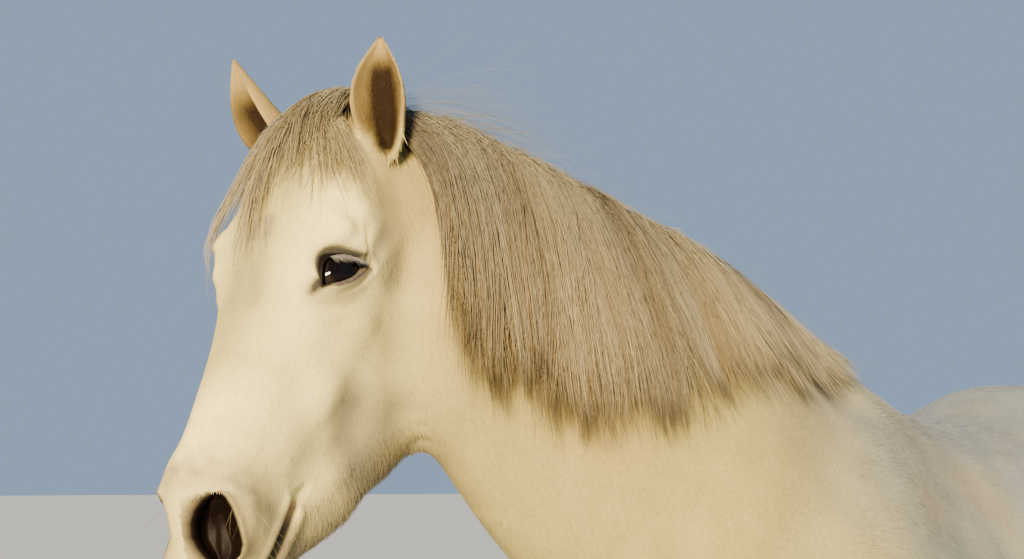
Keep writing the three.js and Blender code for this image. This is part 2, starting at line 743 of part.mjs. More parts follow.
function addTrunkAndNeck() {
  const neck = flesh.intersect(aheadOfNeckBase()).subtract(grownHead);
  addPart("neck", neck, material(COLOURS.neck, 0.9));
  const hindCut = below(HIND_CUT_HEIGHT).intersect(behindStifle());
  const trunk = flesh.intersect(behindNeckBase()).intersect(above(FORE_CUT_HEIGHT));
  addPart("trunk", trunk.subtract(hindCut), material(COLOURS.trunk, 0.9));
}

function addLeg(prefix, name, parts) {
  const { table, foot, hoof, topCut, jointHeight } = parts;
  const side = SIDES[name];
  const { point, upward } = coronet(hoof, foot, side);
  const leg = legSolid(table, foot, side);
  const top = leg.intersect(topCut).intersect(above(jointHeight));
  const low = leg.intersect(below(jointHeight)).intersect(sideOf(point, upward, HALF_GAP));
  const wall = hoofSolid(hoof, foot, side);
  const capsule = wall.intersect(sideOf(point, upward.clone().negate(), HALF_GAP));
  addPart(`${prefix}leg_upper_${name}`, top, material(COLOURS.upperLeg, 0.9));
  addPart(`${prefix}leg_lower_${name}`, low, material(COLOURS.lowerLeg, 0.9));
  addPart(`${prefix}_hoof_${name}`, capsule, material(COLOURS.hoof, 0.6));
}

function addLegs() {
  const hindTop = below(HIND_CUT_HEIGHT).intersect(behindStifle());
  for (const name of Object.keys(SIDES)) {
    addLeg("fore", name, {
      table: FORELEG,
      foot: FORE_FEET[name],
      hoof: FORE_HOOF,
      topCut: below(FORE_CUT_HEIGHT),
      jointHeight: KNEE_CUT_HEIGHT,
    });
    addLeg("hind", name, {
      table: HINDLEG,
      foot: HIND_FEET[name],
      hoof: HIND_HOOF,
      topCut: hindTop,
      jointHeight: HOCK_CUT_HEIGHT,
    });
  }
}

function addHair() {
  const hair = material(COLOURS.hair, 0.8);
  const atPoll = sideOf(onHead(POLL_PARTING, 0, 0), headAxes.along, -HALF_GAP);
  const brow = atPoll.intersect(sideOf(onHead(0, 0, -FORELOCK_DEPTH), headAxes.out, 0));
  let mane = maneSolid().subtract(grownFlesh).subtract(brow);
  let forelock = forelockSolid().subtract(grownHead).subtract(grownFlesh);
  forelock = forelock.intersect(sideOf(onHead(POLL_PARTING, 0, 0), headAxes.along, HALF_GAP));
  for (const name of Object.keys(SIDES)) {
    const ear = earSolid(EARS[name], EAR_CLEARANCE);
    mane = mane.subtract(ear);
    forelock = forelock.subtract(ear);
  }
  addPart("mane", mane, hair);
  addPart("forelock", forelock, hair);
  addPart("tail", tailSolid().subtract(grownFlesh), hair);
}

addHead();
addTrunkAndNeck();
addLegs();
addHair();

// The origin goes under the middle of the model, on the ground.
const box = new THREE.Box3().setFromObject(root);
const middle = box.getCenter(new THREE.Vector3());
root.position.set(-middle.x, -middle.y, -box.min.z);

const horse = new THREE.Group();
horse.add(root);

export default horse;
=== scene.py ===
"""A standing grey horse in its winter coat, built as skin, eyes, hooves, short coat and long hair
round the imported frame. Lengths are in metres. The horse faces -X and its left side is towards -Y."""

import math

import bmesh
import bpy
import numpy as np
from bpy.props import FloatProperty, FloatVectorProperty, IntProperty, PointerProperty
from mathutils import Matrix, Vector
from mathutils.bvhtree import BVHTree


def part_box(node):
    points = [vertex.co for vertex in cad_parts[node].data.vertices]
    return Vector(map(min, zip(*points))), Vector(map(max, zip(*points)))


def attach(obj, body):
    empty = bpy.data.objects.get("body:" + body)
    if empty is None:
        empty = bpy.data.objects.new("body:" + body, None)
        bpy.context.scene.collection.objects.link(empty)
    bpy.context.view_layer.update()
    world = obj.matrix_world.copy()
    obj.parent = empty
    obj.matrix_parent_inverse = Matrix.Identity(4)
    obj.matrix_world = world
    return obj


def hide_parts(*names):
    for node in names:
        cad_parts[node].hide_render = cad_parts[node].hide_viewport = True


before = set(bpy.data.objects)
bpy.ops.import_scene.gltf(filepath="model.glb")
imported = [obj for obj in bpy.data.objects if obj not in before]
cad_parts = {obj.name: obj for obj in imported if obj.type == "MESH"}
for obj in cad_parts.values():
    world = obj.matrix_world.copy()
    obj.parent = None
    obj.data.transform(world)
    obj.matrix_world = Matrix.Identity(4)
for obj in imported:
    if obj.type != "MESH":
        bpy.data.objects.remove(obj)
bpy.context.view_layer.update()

bl_info = {
    "name": "Standing grey horse",
    "version": (1, 0, 0),
    "blender": (4, 5, 0),
    "location": "View3D > Sidebar > Horse",
    "description": "Builds the skin, coat and hair of a life-size standing horse",
    "category": "Add Mesh",
}

LEGS = [f"{end}leg_{part}_{side}" for end in ("fore", "hind") for part in ("upper", "lower")
        for side in ("left", "right")]
HOOVES = [f"{end}_hoof_{side}" for end in ("fore", "hind") for side in ("left", "right")]
HEAD_NODES = ["head", "lower_jaw", "eye_left", "eye_right"]
FLESH = ["head", "lower_jaw", "ear_left", "ear_right", "neck", "trunk"] + LEGS
REGIONS = {"head": HEAD_NODES, "neck": ["neck"], "trunk": ["trunk"], "legs": LEGS + HOOVES}


# ---------------------------------------------------------------- places on the horse

def unit(vectors):
    return vectors / np.maximum(np.linalg.norm(vectors, axis=-1, keepdims=True), 1e-12)


def middle_of(node):
    low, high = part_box(node)
    return (np.array(low) + np.array(high)) / 2


# The head's own axes: along the face from the poll to the lips, to its left, and out of the face.
HEAD_TURN = math.radians(5.0)
HEAD_DROP = math.radians(57.5)
HEAD_TILT = math.radians(2.5)
EYE_PLACE = np.array((0.208, 0.069, -0.054))
RIGHT_EYE_SHIFT = np.array((-0.010, -0.007, -0.002))


def head_axes():
    level = math.cos(HEAD_DROP)
    along = Vector((-level * math.cos(HEAD_TURN), -level * math.sin(HEAD_TURN), -math.sin(HEAD_DROP)))
    side = Matrix.Rotation(HEAD_TILT, 3, along) @ Vector((math.sin(HEAD_TURN), -math.cos(HEAD_TURN), 0))
    return np.array((along, side, along.cross(side)))


HEAD = head_axes()
POLL = (middle_of("eye_left") + middle_of("eye_right")) / 2 - (EYE_PLACE * (1, 0, 1)) @ HEAD

# The body's axes: forward, left and up, with the poll at a known place on them.
BODY = np.array(((-1.0, 0.0, 0.0), (0.0, -1.0, 0.0), (0.0, 0.0, 1.0)))
POLL_ON_BODY = np.array((1.119, -0.294, 1.709))
BODY_ORIGIN = POLL - POLL_ON_BODY @ BODY


def to_head(places):
    return (places - POLL) @ HEAD.T


def from_head(places):
    return POLL + np.asarray(places) @ HEAD


def to_body(places):
    return (places - BODY_ORIGIN) @ BODY.T


def from_body(places):
    return BODY_ORIGIN + np.asarray(places) @ BODY


def to_both_sides(places):
    """The same places with their sideways part made positive, for forms that both sides share."""
    return places * (1, 0, 1) + np.abs(places) * (0, 1, 0)


def back_to_sides(own, heads):
    """Places on the head's left half, put back on the side that each one came from."""
    return from_head(own * np.where(heads[:, 1:2] < 0, (1, -1, 1), 1))


# ---------------------------------------------------------------- shaping tools

# Each round of evening draws the points in, then lets them out by a little more.
EVENING = (0.6, -0.62)


def smoothstep(low, high, values):
    share = np.clip((values - low) / (high - low), 0, 1)
    return share * share * (3 - 2 * share)


def bell(values, middle, width, power=2):
    """1 at the middle, fading over the width."""
    return np.exp(-((values - middle) / width) ** power)


def read_table(table, at, *columns, outside=None):
    """Columns of a table at values of its first one, with one value for all that is outside it."""
    return [np.interp(at, table[:, 0], table[:, k], outside, outside) for k in columns]


def near_path(places, path):
    """Distance of each place from a path of points."""
    path = np.asarray(path, float)
    if len(path) == 1:
        return np.linalg.norm(places - path[0], axis=1)
    nearest = np.full(len(places), np.inf)
    for start, end in zip(path[:-1], path[1:]):
        span = end - start
        share = np.clip((places - start) @ span / (span @ span), 0, 1)
        away = np.linalg.norm(places - start - share[:, None] * span, axis=1)
        nearest = np.minimum(nearest, away)
    return nearest


def swell(places, path, reach):
    """From 1 on a path to 0 at its reach."""
    return np.clip(1 - (near_path(places, path) / reach) ** 2, 0, 1) ** 2


def relax(places, edges, rounds):
    """Evens a surface out without shrinking it."""
    count = np.maximum(np.bincount(edges.ravel(), minlength=len(places)), 1)[:, None]
    for _ in range(rounds):
        for factor in EVENING:
            total = np.empty_like(places)
            for axis in range(3):
                column = places[:, axis]
                total[:, axis] = np.bincount(edges[:, 0], column[edges[:, 1]], len(places))
                total[:, axis] += np.bincount(edges[:, 1], column[edges[:, 0]], len(places))
            places = places + factor * (total / count - places)
    return places


def fetched(items, name, width, kind=np.float32):
    """One property of all items of a mesh, an item to a row."""
    values = np.empty(len(items) * width, kind)
    items.foreach_get(name, values)
    return values.reshape(-1, width)


def places_of(mesh):
    return fetched(mesh.vertices, "co", 3).astype(float)


def normals_of(mesh):
    return fetched(mesh.vertex_normals, "vector", 3).astype(float)


def edges_of(mesh):
    return fetched(mesh.edges, "vertices", 2, np.int32)


def set_places(mesh, places):
    mesh.vertices.foreach_set("co", np.ascontiguousarray(places, np.float32).ravel())
    mesh.update()


def push_out(mesh, rise):
    """Moves each point along its normal."""
    set_places(mesh, places_of(mesh) + normals_of(mesh) * rise[:, None])


def smooth_mesh(mesh, rounds):
    set_places(mesh, relax(places_of(mesh), edges_of(mesh), rounds))


def point_colours(mesh, name, colours):
    layer = mesh.color_attributes.new(name, "FLOAT_COLOR", "POINT")
    filled = np.ones((len(mesh.vertices), 4), np.float32)
    filled[:, :3] = colours
    layer.data.foreach_set("color", filled.ravel())


def point_values(mesh, name, values):
    layer = mesh.attributes.new(name, "FLOAT", "POINT")
    layer.data.foreach_set("value", np.asarray(values, np.float32))


def read_values(mesh, name):
    return fetched(mesh.attributes[name].data, "value", 1)[:, 0].astype(float)


def read_colours(mesh, name):
    return fetched(mesh.color_attributes[name].data, "color", 4)[:, :3].astype(float)


def new_object(name, mesh):
    piece = bpy.data.objects.new(name, mesh)
    bpy.context.scene.collection.objects.link(piece)
    return piece


def as_mesh(made, name):
    """A bmesh as a mesh. The bmesh itself goes."""
    mesh = bpy.data.meshes.new(name)
    made.to_mesh(mesh)
    made.free()
    return mesh


def merged_copy(nodes):
    """The frame's solids as one bmesh, each closed."""
    made = bmesh.new()
    for node in nodes:
        made.from_mesh(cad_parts[node].data)
    bmesh.ops.remove_doubles(made, verts=made.verts, dist=1e-5)
    return made


def solids_tree(nodes):
    """A tree to find the nearest point of some solids with."""
    made = merged_copy(nodes)
    tree = BVHTree.FromBMesh(made)
    made.free()
    return tree


def applied(piece):
    """The mesh that an object's modifiers make. The object itself goes."""
    graph = bpy.context.evaluated_depsgraph_get()
    mesh = bpy.data.meshes.new_from_object(piece.evaluated_get(graph))
    bpy.data.objects.remove(piece)
    return mesh


def as_one_surface(made, cell):
    """A bmesh of overlapping or touching closed bodies as one even closed surface."""
    piece = new_object("bodies", as_mesh(made, "bodies"))
    remesh = piece.modifiers.new("surface", "REMESH")
    remesh.mode = "VOXEL"
    remesh.voxel_size = cell
    return applied(piece)


def split_big_faces(made):
    bmesh.ops.triangulate(made, faces=[face for face in made.faces if len(face.verts) > 4])


def finer(mesh, wanted):
    """Halves the faces whose middle is where it is wanted, with even joins to the rest."""
    made = bmesh.new()
    made.from_mesh(mesh)
    chosen = wanted(np.array([face.calc_center_median() for face in made.faces]))
    edges = {edge for face, take in zip(made.faces, chosen) if take for edge in face.edges}
    bmesh.ops.subdivide_edges(made, edges=list(edges), cuts=1, use_grid_fill=True)
    split_big_faces(made)
    made.to_mesh(mesh)
    made.free()


# ---------------------------------------------------------------- forms of the head and body

# Places are along, out to the side and out of the face; then how far a form reaches and rises.
HEAD_FORMS = [
    (((0.232, 0.094, -0.108), (0.280, 0.084, -0.112), (0.338, 0.068, -0.112)), 0.032, 0.0036),
    (((0.180, 0.099, -0.094), (0.130, 0.099, -0.096), (0.075, 0.092, -0.098)), 0.034, 0.0022),
    (((0.150, 0.090, -0.205), (0.200, 0.086, -0.240)), 0.085, 0.0065),
    (((0.330, 0.056, -0.066), (0.400, 0.046, -0.062)), 0.036, -0.0040),
    (((0.340, 0.060, -0.165), (0.400, 0.050, -0.150)), 0.045, -0.0045),
    (((0.138, 0.070, -0.030),), 0.026, -0.0075),
    (((0.232, 0.078, -0.018), (0.200, 0.082, -0.012), (0.165, 0.086, -0.026)), 0.018, 0.0055),
    (((0.250, 0.030, 0.000), (0.350, 0.024, -0.012), (0.450, 0.020, -0.024)), 0.016, 0.0022),
    (((0.488, 0.050, -0.070), (0.520, 0.048, -0.084)), 0.036, 0.0050),
    (((0.452, 0.040, -0.042),), 0.030, 0.0030),
    (((0.505, 0.000, -0.185),), 0.034, 0.0080),
    (((0.055, 0.040, 0.000),), 0.045, 0.0040),
    (((0.270, 0.066, -0.292), (0.300, 0.060, -0.285)), 0.024, -0.0040),
    (((0.000, 0.082, -0.140), (0.060, 0.092, -0.230), (0.110, 0.090, -0.300)), 0.030, -0.0060),
    (((0.283, 0.074, -0.118), (0.300, 0.070, -0.146), (0.322, 0.064, -0.160), (0.342, 0.057, -0.182)),
     0.036, -0.0016),
    (((0.318, 0.066, -0.128), (0.345, 0.060, -0.150)), 0.034, 0.0016),
    (((0.180, 0.092, -0.071), (0.157, 0.097, -0.074), (0.124, 0.095, -0.085)), 0.015, -0.0026),
    (((0.390, 0.0, -0.245), (0.450, 0.0, -0.225), (0.500, 0.0, -0.200)), 0.060, 0.0130),
]
# Places are forward, out to the side and up.
BODY_FORMS = [
    (((0.42, 0.13, 1.39), (0.54, 0.22, 1.22), (0.67, 0.20, 1.06)), 0.130, 0.006),
    (((0.58, 0.10, 1.38), (0.66, 0.17, 1.22), (0.75, 0.16, 1.08)), 0.120, -0.005),
    (((0.47, 0.23, 1.10), (0.42, 0.24, 1.02)), 0.120, 0.014),
    (((0.28, 0.26, 1.20), (0.28, 0.26, 1.05), (0.30, 0.24, 0.92)), 0.090, -0.008),
    (((0.345, 0.20, 0.93),), 0.050, 0.010),
    (((0.50, 0.20, 0.85), (0.48, 0.19, 0.72)), 0.070, 0.007),
    (((0.77, 0.09, 1.02),), 0.090, 0.016),
    (((0.79, 0.00, 1.08), (0.77, 0.00, 0.94)), 0.050, -0.012),
    (((-0.38, 0.27, 1.27), (-0.33, 0.29, 1.18)), 0.090, -0.013),
    (((-0.41, 0.24, 1.37),), 0.060, 0.012),
    (((-0.30, 0.25, 0.98), (-0.35, 0.23, 0.88)), 0.060, 0.008),
    (((-0.66, 0.22, 1.26), (-0.66, 0.25, 1.08), (-0.62, 0.24, 0.90)), 0.045, -0.008),
    (((-0.52, 0.26, 1.18), (-0.50, 0.25, 1.02)), 0.120, 0.010),
    (((-0.35, 0.00, 1.45), (-0.70, 0.00, 1.38)), 0.045, -0.007),
    (((-0.62, 0.20, 0.78), (-0.70, 0.17, 0.64)), 0.035, -0.006),
    (((-0.10, 0.30, 0.98), (0.15, 0.29, 0.96)), 0.120, 0.006),
]


def raise_forms(mesh, forms, to_own, wanted):
    """Raises or sinks the skin round each form's path, as far as forms are wanted there."""
    own = to_both_sides(to_own(places_of(mesh)))
    rise = sum(height * swell(own, path, reach) for path, reach, height in forms)
    push_out(mesh, rise * wanted)


# ---------------------------------------------------------------- lids

# The eye's own axes on the left half of the head: from the outer corner to the inner one,
# down across the opening, and straight out.
GAZE_OUT = unit(np.array((0.05, 0.90, 0.43)))
GAZE_ALONG = unit(np.array((0.854, -0.262, 0.449)))
GAZE = np.array((GAZE_ALONG, np.cross(GAZE_OUT, GAZE_ALONG), GAZE_OUT))
OUTER_CORNER = (-0.034, 0.009)
INNER_CORNER = (0.031, 0.005)
UPPER_LID_RISE = 0.025
LOWER_LID_DROP = 0.0055
# Half sizes of the ball that the lids lie on, and of the eyeball.
LID_FORM = (0.044, 0.035, 0.030)
GLOBE_FORM = (0.0305, 0.0262, 0.0258)
# Folds of the lids: which lid, how far from its edge, how wide and how deep.
LID_FOLDS = [
    ("upper", 0.0095, 0.0018, 0.0015),
    ("upper", 0.0155, 0.0020, 0.0010),
    ("upper", 0.0045, 0.0012, 0.0008),
    ("lower", 0.0105, 0.0026, 0.0013),
]
# The crease from the outer corner: its path on the eye's axes, its width and its depth.
OUTER_CREASE = ((-0.034, 0.006, 0), (-0.045, -0.006, 0), (-0.058, -0.026, 0))
CREASE_WIDTH = 0.0045
CREASE_DEPTH = 0.0022
# How deep the skin goes in behind the lids.
SOCKET_DEPTH = 0.020


def lid_edges(along):
    """The upper and lower lid's edge at a distance along the eye, as distances down across it."""
    share = np.clip((along - OUTER_CORNER[0]) / (INNER_CORNER[0] - OUTER_CORNER[0]), 0, 1)
    corners = OUTER_CORNER[1] + share * (INNER_CORNER[1] - OUTER_CORNER[1])
    upper = corners - UPPER_LID_RISE * np.sin(np.pi * share ** 1.57) ** 0.7
    lower = corners + LOWER_LID_DROP * np.sin(np.pi * share) - 0.002 * smoothstep(0.78, 0.92, share)
    return upper, lower


def eye_centres(heads):
    """The centre of the eye on each place's own side, as if that were the left one."""
    return EYE_PLACE + RIGHT_EYE_SHIFT * (heads[:, 1:2] < 0)


def lid_measures(places):
    """Places in the eye's axes, and how far inside the opening each one is."""
    heads = to_head(places)
    gaze = (to_both_sides(heads) - eye_centres(heads)) @ GAZE.T
    upper, lower = lid_edges(gaze[:, 0])
    inside = np.minimum(gaze[:, 1] - upper, lower - gaze[:, 1])
    ends = np.minimum(gaze[:, 0] - OUTER_CORNER[0], INNER_CORNER[0] - gaze[:, 0])
    inside = np.where(ends < 0, -np.hypot(np.minimum(inside, 0), ends), inside)
    return gaze, inside


def from_gaze(gaze, heads):
    """Places in the eye's axes back in the frame's, on the side each one came from."""
    return back_to_sides(eye_centres(heads) + gaze @ GAZE, heads)


def lid_ball(along, down):
    """How far out the ball under the lids is."""
    ball = 1 - (along / LID_FORM[0]) ** 2 - (down / LID_FORM[1]) ** 2
    return LID_FORM[2] * np.sqrt(np.clip(ball, 0, 1))


def shape_lids(mesh):
    """Lays the skin round each eye on a ball, opens it between the lids and folds the lids."""
    places = places_of(mesh)
    heads = to_head(places)
    gaze, inside = lid_measures(places)
    reach = np.hypot(gaze[:, 0] / 0.052, (gaze[:, 1] + 0.003) / 0.042)
    near = (reach < 1.5) & (gaze[:, 2] > 0)
    along, down, out = gaze.T.copy()
    upper, lower = lid_edges(along)
    for edge, other in ((upper, lower), (lower, upper)):
        snap = near & (np.abs(down - edge) < 0.0007) & (np.abs(other - edge) > 0.002)
        down = np.where(snap, edge, down)
        inside = np.where(snap, 0, inside)
    lid = lid_ball(along, down) * (1 - 0.45 * smoothstep(0.012, 0.034, down))
    hold = 1 - smoothstep(0.60, 1.45, reach)
    softened = 0.5 * (lid + out + np.sqrt((lid - out) ** 2 + 0.006 ** 2))
    tight = smoothstep(-0.014, -0.004, inside)
    out = out + hold * (softened + (lid - softened) * tight - out)
    beyond = {"upper": upper - down, "lower": down - lower}
    on_lid = smoothstep(-0.044, -0.030, along) * (1 - smoothstep(0.022, 0.036, along))
    for which, place, width, depth in LID_FOLDS:
        out -= depth * on_lid * bell(beyond[which], place, width)
    plane = np.stack((along, down, np.zeros_like(along)), axis=1)
    out -= CREASE_DEPTH * bell(near_path(plane, OUTER_CREASE), 0, CREASE_WIDTH)
    sink = np.clip(inside, 0, None)
    out -= np.where(sink > 0, np.minimum(0.0008 + sink * 3.2, SOCKET_DEPTH), 0)
    moved = from_gaze(np.stack((along, down, out), axis=1), heads)
    set_places(mesh, np.where(near[:, None], moved, places))


# ---------------------------------------------------------------- nostrils and mouth

NOSTRIL_PLACE = np.array((0.511, 0.042, -0.066))
NOSTRIL = np.array(((0.853, 0.123, -0.507), (-0.385, 0.804, -0.454), (0.351, 0.582, 0.733)))
# The nostril's outline: distance along it, and half widths towards the mouth and the nose.
NOSTRIL_OUTLINE = np.array((
    (-0.034, 0.000, 0.004),
    (-0.028, 0.007, 0.017),
    (-0.018, 0.012, 0.026),
    (-0.006, 0.0155, 0.0310),
    (0.008, 0.0185, 0.0315),
    (0.020, 0.0200, 0.0260),
    (0.030, 0.0170, 0.0190),
    (0.039, 0.0060, 0.0090),
))
# The line between the lips: along the head, and out of the face.
MOUTH_LINE = np.array((
    (0.400, -0.1490),
    (0.431, -0.1530),
    (0.465, -0.1550),
    (0.500, -0.1540),
    (0.540, -0.1470),
    (0.585, -0.1340),
))
MOUTH_CORNER = 0.431
MOUTH_POCKET = ((0.424, 0.046, -0.154), (0.412, 0.048, -0.160))
RIGHT_NOSTRIL_SHIFT = 0.023
NOSTRIL_DEPTH = 0.030


def nostril_measures(places):
    """Places in the nostril's axes, and how far inside its outline each one is."""
    heads = to_head(places)
    own = (to_both_sides(heads) - NOSTRIL_PLACE) @ NOSTRIL.T
    own[:, 1] -= RIGHT_NOSTRIL_SHIFT * (heads[:, 1] < 0)
    outer, inner = read_table(NOSTRIL_OUTLINE, own[:, 0], 1, 2, outside=-0.03)
    inside = np.minimum(outer - own[:, 1], own[:, 1] + inner)
    inside = np.where((own[:, 2] > -0.045) & (own[:, 2] < 0.03), inside, -0.05)
    return own, inside


def shape_nostrils(mesh):
    """Sinks the nostrils, with a raised rim on the outer side and a softer edge on the inner one."""
    places = places_of(mesh)
    heads = to_head(places)
    own, inside = nostril_measures(places)
    near = inside > -0.024
    outer_side = smoothstep(-0.004, 0.004, own[:, 1])
    rim = 0.0042 * bell(inside, -0.0030, 0.0040) * outer_side
    wing = 0.0035 * smoothstep(-0.014, 0.0, inside) * (1 - outer_side)
    ridge = 0.0020 * bell(inside, -0.017, 0.008) * (1 - outer_side)
    slope = 1.5 + 1.5 * outer_side
    deep = np.minimum(np.clip(inside, 0, None) * slope, NOSTRIL_DEPTH)
    own[:, 2] += np.where(near, rim + ridge - wing - deep, 0)
    own[:, 1] += np.where(near & (inside > 0.004), -0.006 * smoothstep(0.004, 0.016, inside), 0)
    own[:, 1] += RIGHT_NOSTRIL_SHIFT * (heads[:, 1] < 0)
    moved = back_to_sides(NOSTRIL_PLACE + own @ NOSTRIL, heads)
    set_places(mesh, np.where(near[:, None], moved, places))


def mouth_measures(places):
    """How far each place is out from the line between the lips, and how much the mouth shows there."""
    heads = to_head(places)
    line = heads[:, 2] - read_table(MOUTH_LINE, heads[:, 0], 1)[0]
    shown = smoothstep(-0.006, 0.006, heads[:, 0] - MOUTH_CORNER)
    return line, shown


def shape_mouth(mesh):
    """Presses in the line between the lips, rounds the lips and sinks the mouth's corner."""
    places = places_of(mesh)
    line, shown = mouth_measures(places)
    fold = -0.0150 * bell(line, 0, 0.0076, 4)
    lips = 0.0026 * bell(line, 0.016, 0.007) + 0.0036 * bell(line, -0.017, 0.008)
    pocket = -0.0030 * swell(to_both_sides(to_head(places)), MOUTH_POCKET, 0.012)
    push_out(mesh, (fold + lips) * shown + pocket)


# ---------------------------------------------------------------- ears

# Share of the ear's height, width, depth of its cup, thickness of its shell.
EAR_FORM = np.array((
    (-0.24, 0.024, 0.016, 0.008),
    (-0.10, 0.044, 0.030, 0.008),
    (0.00, 0.052, 0.036, 0.008),
    (0.14, 0.058, 0.040, 0.008),
    (0.30, 0.064, 0.038, 0.006),
    (0.48, 0.061, 0.032, 0.0042),
    (0.66, 0.048, 0.024, 0.0036),
    (0.82, 0.029, 0.014, 0.0034),
    (0.93, 0.013, 0.007, 0.0032),
    (1.00, 0.003, 0.0025, 0.0020),
))
# Root, tip and the way the hollow faces, on the head.
EARS = {
    "left": ((0.016, 0.069, -0.048), (-0.080, 0.068, 0.019), (0.30, 0.35, 0.88)),
    "right": ((0.016, -0.064, -0.046), (-0.055, -0.118, 0.047), (0.28, -0.48, 0.83)),
}
# Share of the ear's height, then the hollow's width there.
HOLLOW_FORM = np.array((
    (-0.20, 0.002),
    (-0.08, 0.026),
    (0.05, 0.044),
    (0.20, 0.058),
    (0.48, 0.058),
    (0.66, 0.046),
    (0.82, 0.028),
    (1.0, 0.002),
))
# Where each hollow's dark hair and painted shade end, as shares of the height, and how far they lie off the
# middle.
HOLLOW_TOP = {"left": (0.64, 0.94), "right": (0.50, 0.88)}
HOLLOW_SHIFT = {"left": -0.001, "right": 0.0085}
EAR_RINGS = 34
EAR_POINTS = 15
# How far the cup closes round, as a share of a half turn, and how far the ear bends forward.
EAR_WRAP = 1.12
EAR_BEND = 0.010


def ear_axes(side):
    """An ear's root, its height and its axes: across, towards its hollow, and up to the tip."""
    root, tip, opening = EARS[side]
    axis = from_head(tip) - from_head(root)
    up = unit(axis)
    ahead = np.asarray(opening) @ HEAD
    ahead = unit(ahead - up * (ahead @ up))
    return from_head(root), np.linalg.norm(axis), np.array((np.cross(ahead, up), ahead, up))


def ear_body(side):
    """A cupped shell with a root that goes down into the head."""
    root, height, axes = ear_axes(side)
    made = bmesh.new()
    loops = []
    turn = np.linspace(0.5, -0.5, EAR_POINTS) * np.pi
    for share in np.linspace(EAR_FORM[0, 0], EAR_FORM[-1, 0], EAR_RINGS):
        width, cup, shell = read_table(EAR_FORM, share, 1, 2, 3)
        wrap = turn * EAR_WRAP
        outer = np.stack((np.sin(wrap) * width / 2, -np.cos(wrap) * cup), axis=1)
        filled = 1 - smoothstep(-0.30, -0.12, share)
        thick = shell + filled * cup * 0.8 * np.cos(turn)
        inward = -unit(outer - (0, -cup * 0.35))
        inner = (outer + inward * thick[:, None])[1:-1][::-1]
        centre = root + axes[2] * share * height + axes[1] * cup / 2
        lean = axes[1] * EAR_BEND * math.sin(math.pi * min(max(share, 0), 1))
        ring = np.concatenate((outer, inner))
        verts = [made.verts.new(centre + lean + x * axes[0] + y * axes[1]) for x, y in ring]
        loops.append([made.edges.new((a, b)) for a, b in zip(verts, verts[1:] + verts[:1])])
    for lower, upper in zip(loops[:-1], loops[1:]):
        bmesh.ops.bridge_loops(made, edges=lower + upper)
    bmesh.ops.holes_fill(made, edges=made.edges, sides=0)
    split_big_faces(made)
    bmesh.ops.recalc_face_normals(made, faces=made.faces)
    mesh = as_mesh(made, "ear")
    smooth_mesh(mesh, 3)
    return mesh


def join_ears(mesh):
    """The skin with both ears grown out of it, and the joins evened."""
    body = new_object("body", mesh)
    ears = {side: new_object("ear", ear_body(side)) for side in EARS}
    for side, ear in ears.items():
        union = body.modifiers.new(side, "BOOLEAN")
        union.operation = "UNION"
        union.solver = "MANIFOLD"
        union.object = ear
    joined = applied(body)
    places = places_of(joined)
    near = np.zeros(len(places))
    for side, ear in ears.items():
        bpy.data.objects.remove(ear)
        root, _, axes = ear_axes(side)
        near = np.maximum(near, swell(places, (root + axes[2] * 0.010,), 0.060))
    eased = relax(places, edges_of(joined), 6)
    set_places(joined, places + (eased - places) * smoothstep(0.1, 0.5, near)[:, None])
    return joined


# ---------------------------------------------------------------- markings

# No hair of the coat is darker than this.
DARKEST = 0.004


def wander(places, size, seed):
    """A soft wandering value from -1 to 1 that changes over a size."""
    draws = np.random.default_rng(seed)
    total = np.zeros(len(places))
    for _ in range(7):
        way = unit(draws.normal(size=3)) * draws.uniform(0.6, 1.7) / size
        total += np.sin(places @ way * 2 * np.pi + draws.uniform(0, 2 * np.pi))
    return total / 3.6


def lower_rim(gaze, inside):
    """How much of the lower lid's paler rim is at each place."""
    line = np.array((OUTER_CORNER, INNER_CORNER))
    low = gaze[:, 1] - read_table(line, gaze[:, 0], 1)[0]
    ends = smoothstep(-0.030, -0.018, gaze[:, 0]) * smoothstep(0.027, 0.018, gaze[:, 0])
    return smoothstep(-0.001, 0.003, low) * smoothstep(-0.0050, -0.0030, inside) * (inside < 0.008) * ends


def inner_side(nostril):
    """1 on the nose's side of a nostril, 0 on its outer side."""
    return smoothstep(0.010, -0.010, nostril[:, 1])


def bare_share(places):
    """How bare and dark the skin is: lids, nostrils and the line between the lips."""
    gaze, inside = lid_measures(places)
    wide = 0.0045 * smoothstep(-0.004, 0.016, gaze[:, 0]) * smoothstep(0.004, -0.004, gaze[:, 1])
    lids = smoothstep(-0.0042, -0.0020, inside + wide) * (gaze[:, 2] > 0) * (np.abs(gaze[:, 0]) < 0.05)
    lids *= 1 - 0.8 * lower_rim(gaze, inside)
    own, hollow = nostril_measures(places)
    # Nearer the nose the dark bare skin reaches further out, as painted shade down the slope into the
    # nostril.
    bare_margin_and_slope_shade = 0.0035 + 0.0065 * smoothstep(0.002, -0.008, own[:, 1])
    nose = smoothstep(-1, 0.4, hollow / bare_margin_and_slope_shade) * (hollow > -0.02)
    line, shown = mouth_measures(places)
    mouth = shown * bell(line, 0, 0.0080, 4) * smoothstep(0.450, 0.462, to_head(places)[:, 0])
    return np.clip(np.maximum(np.maximum(lids, nose), mouth), 0, 1)


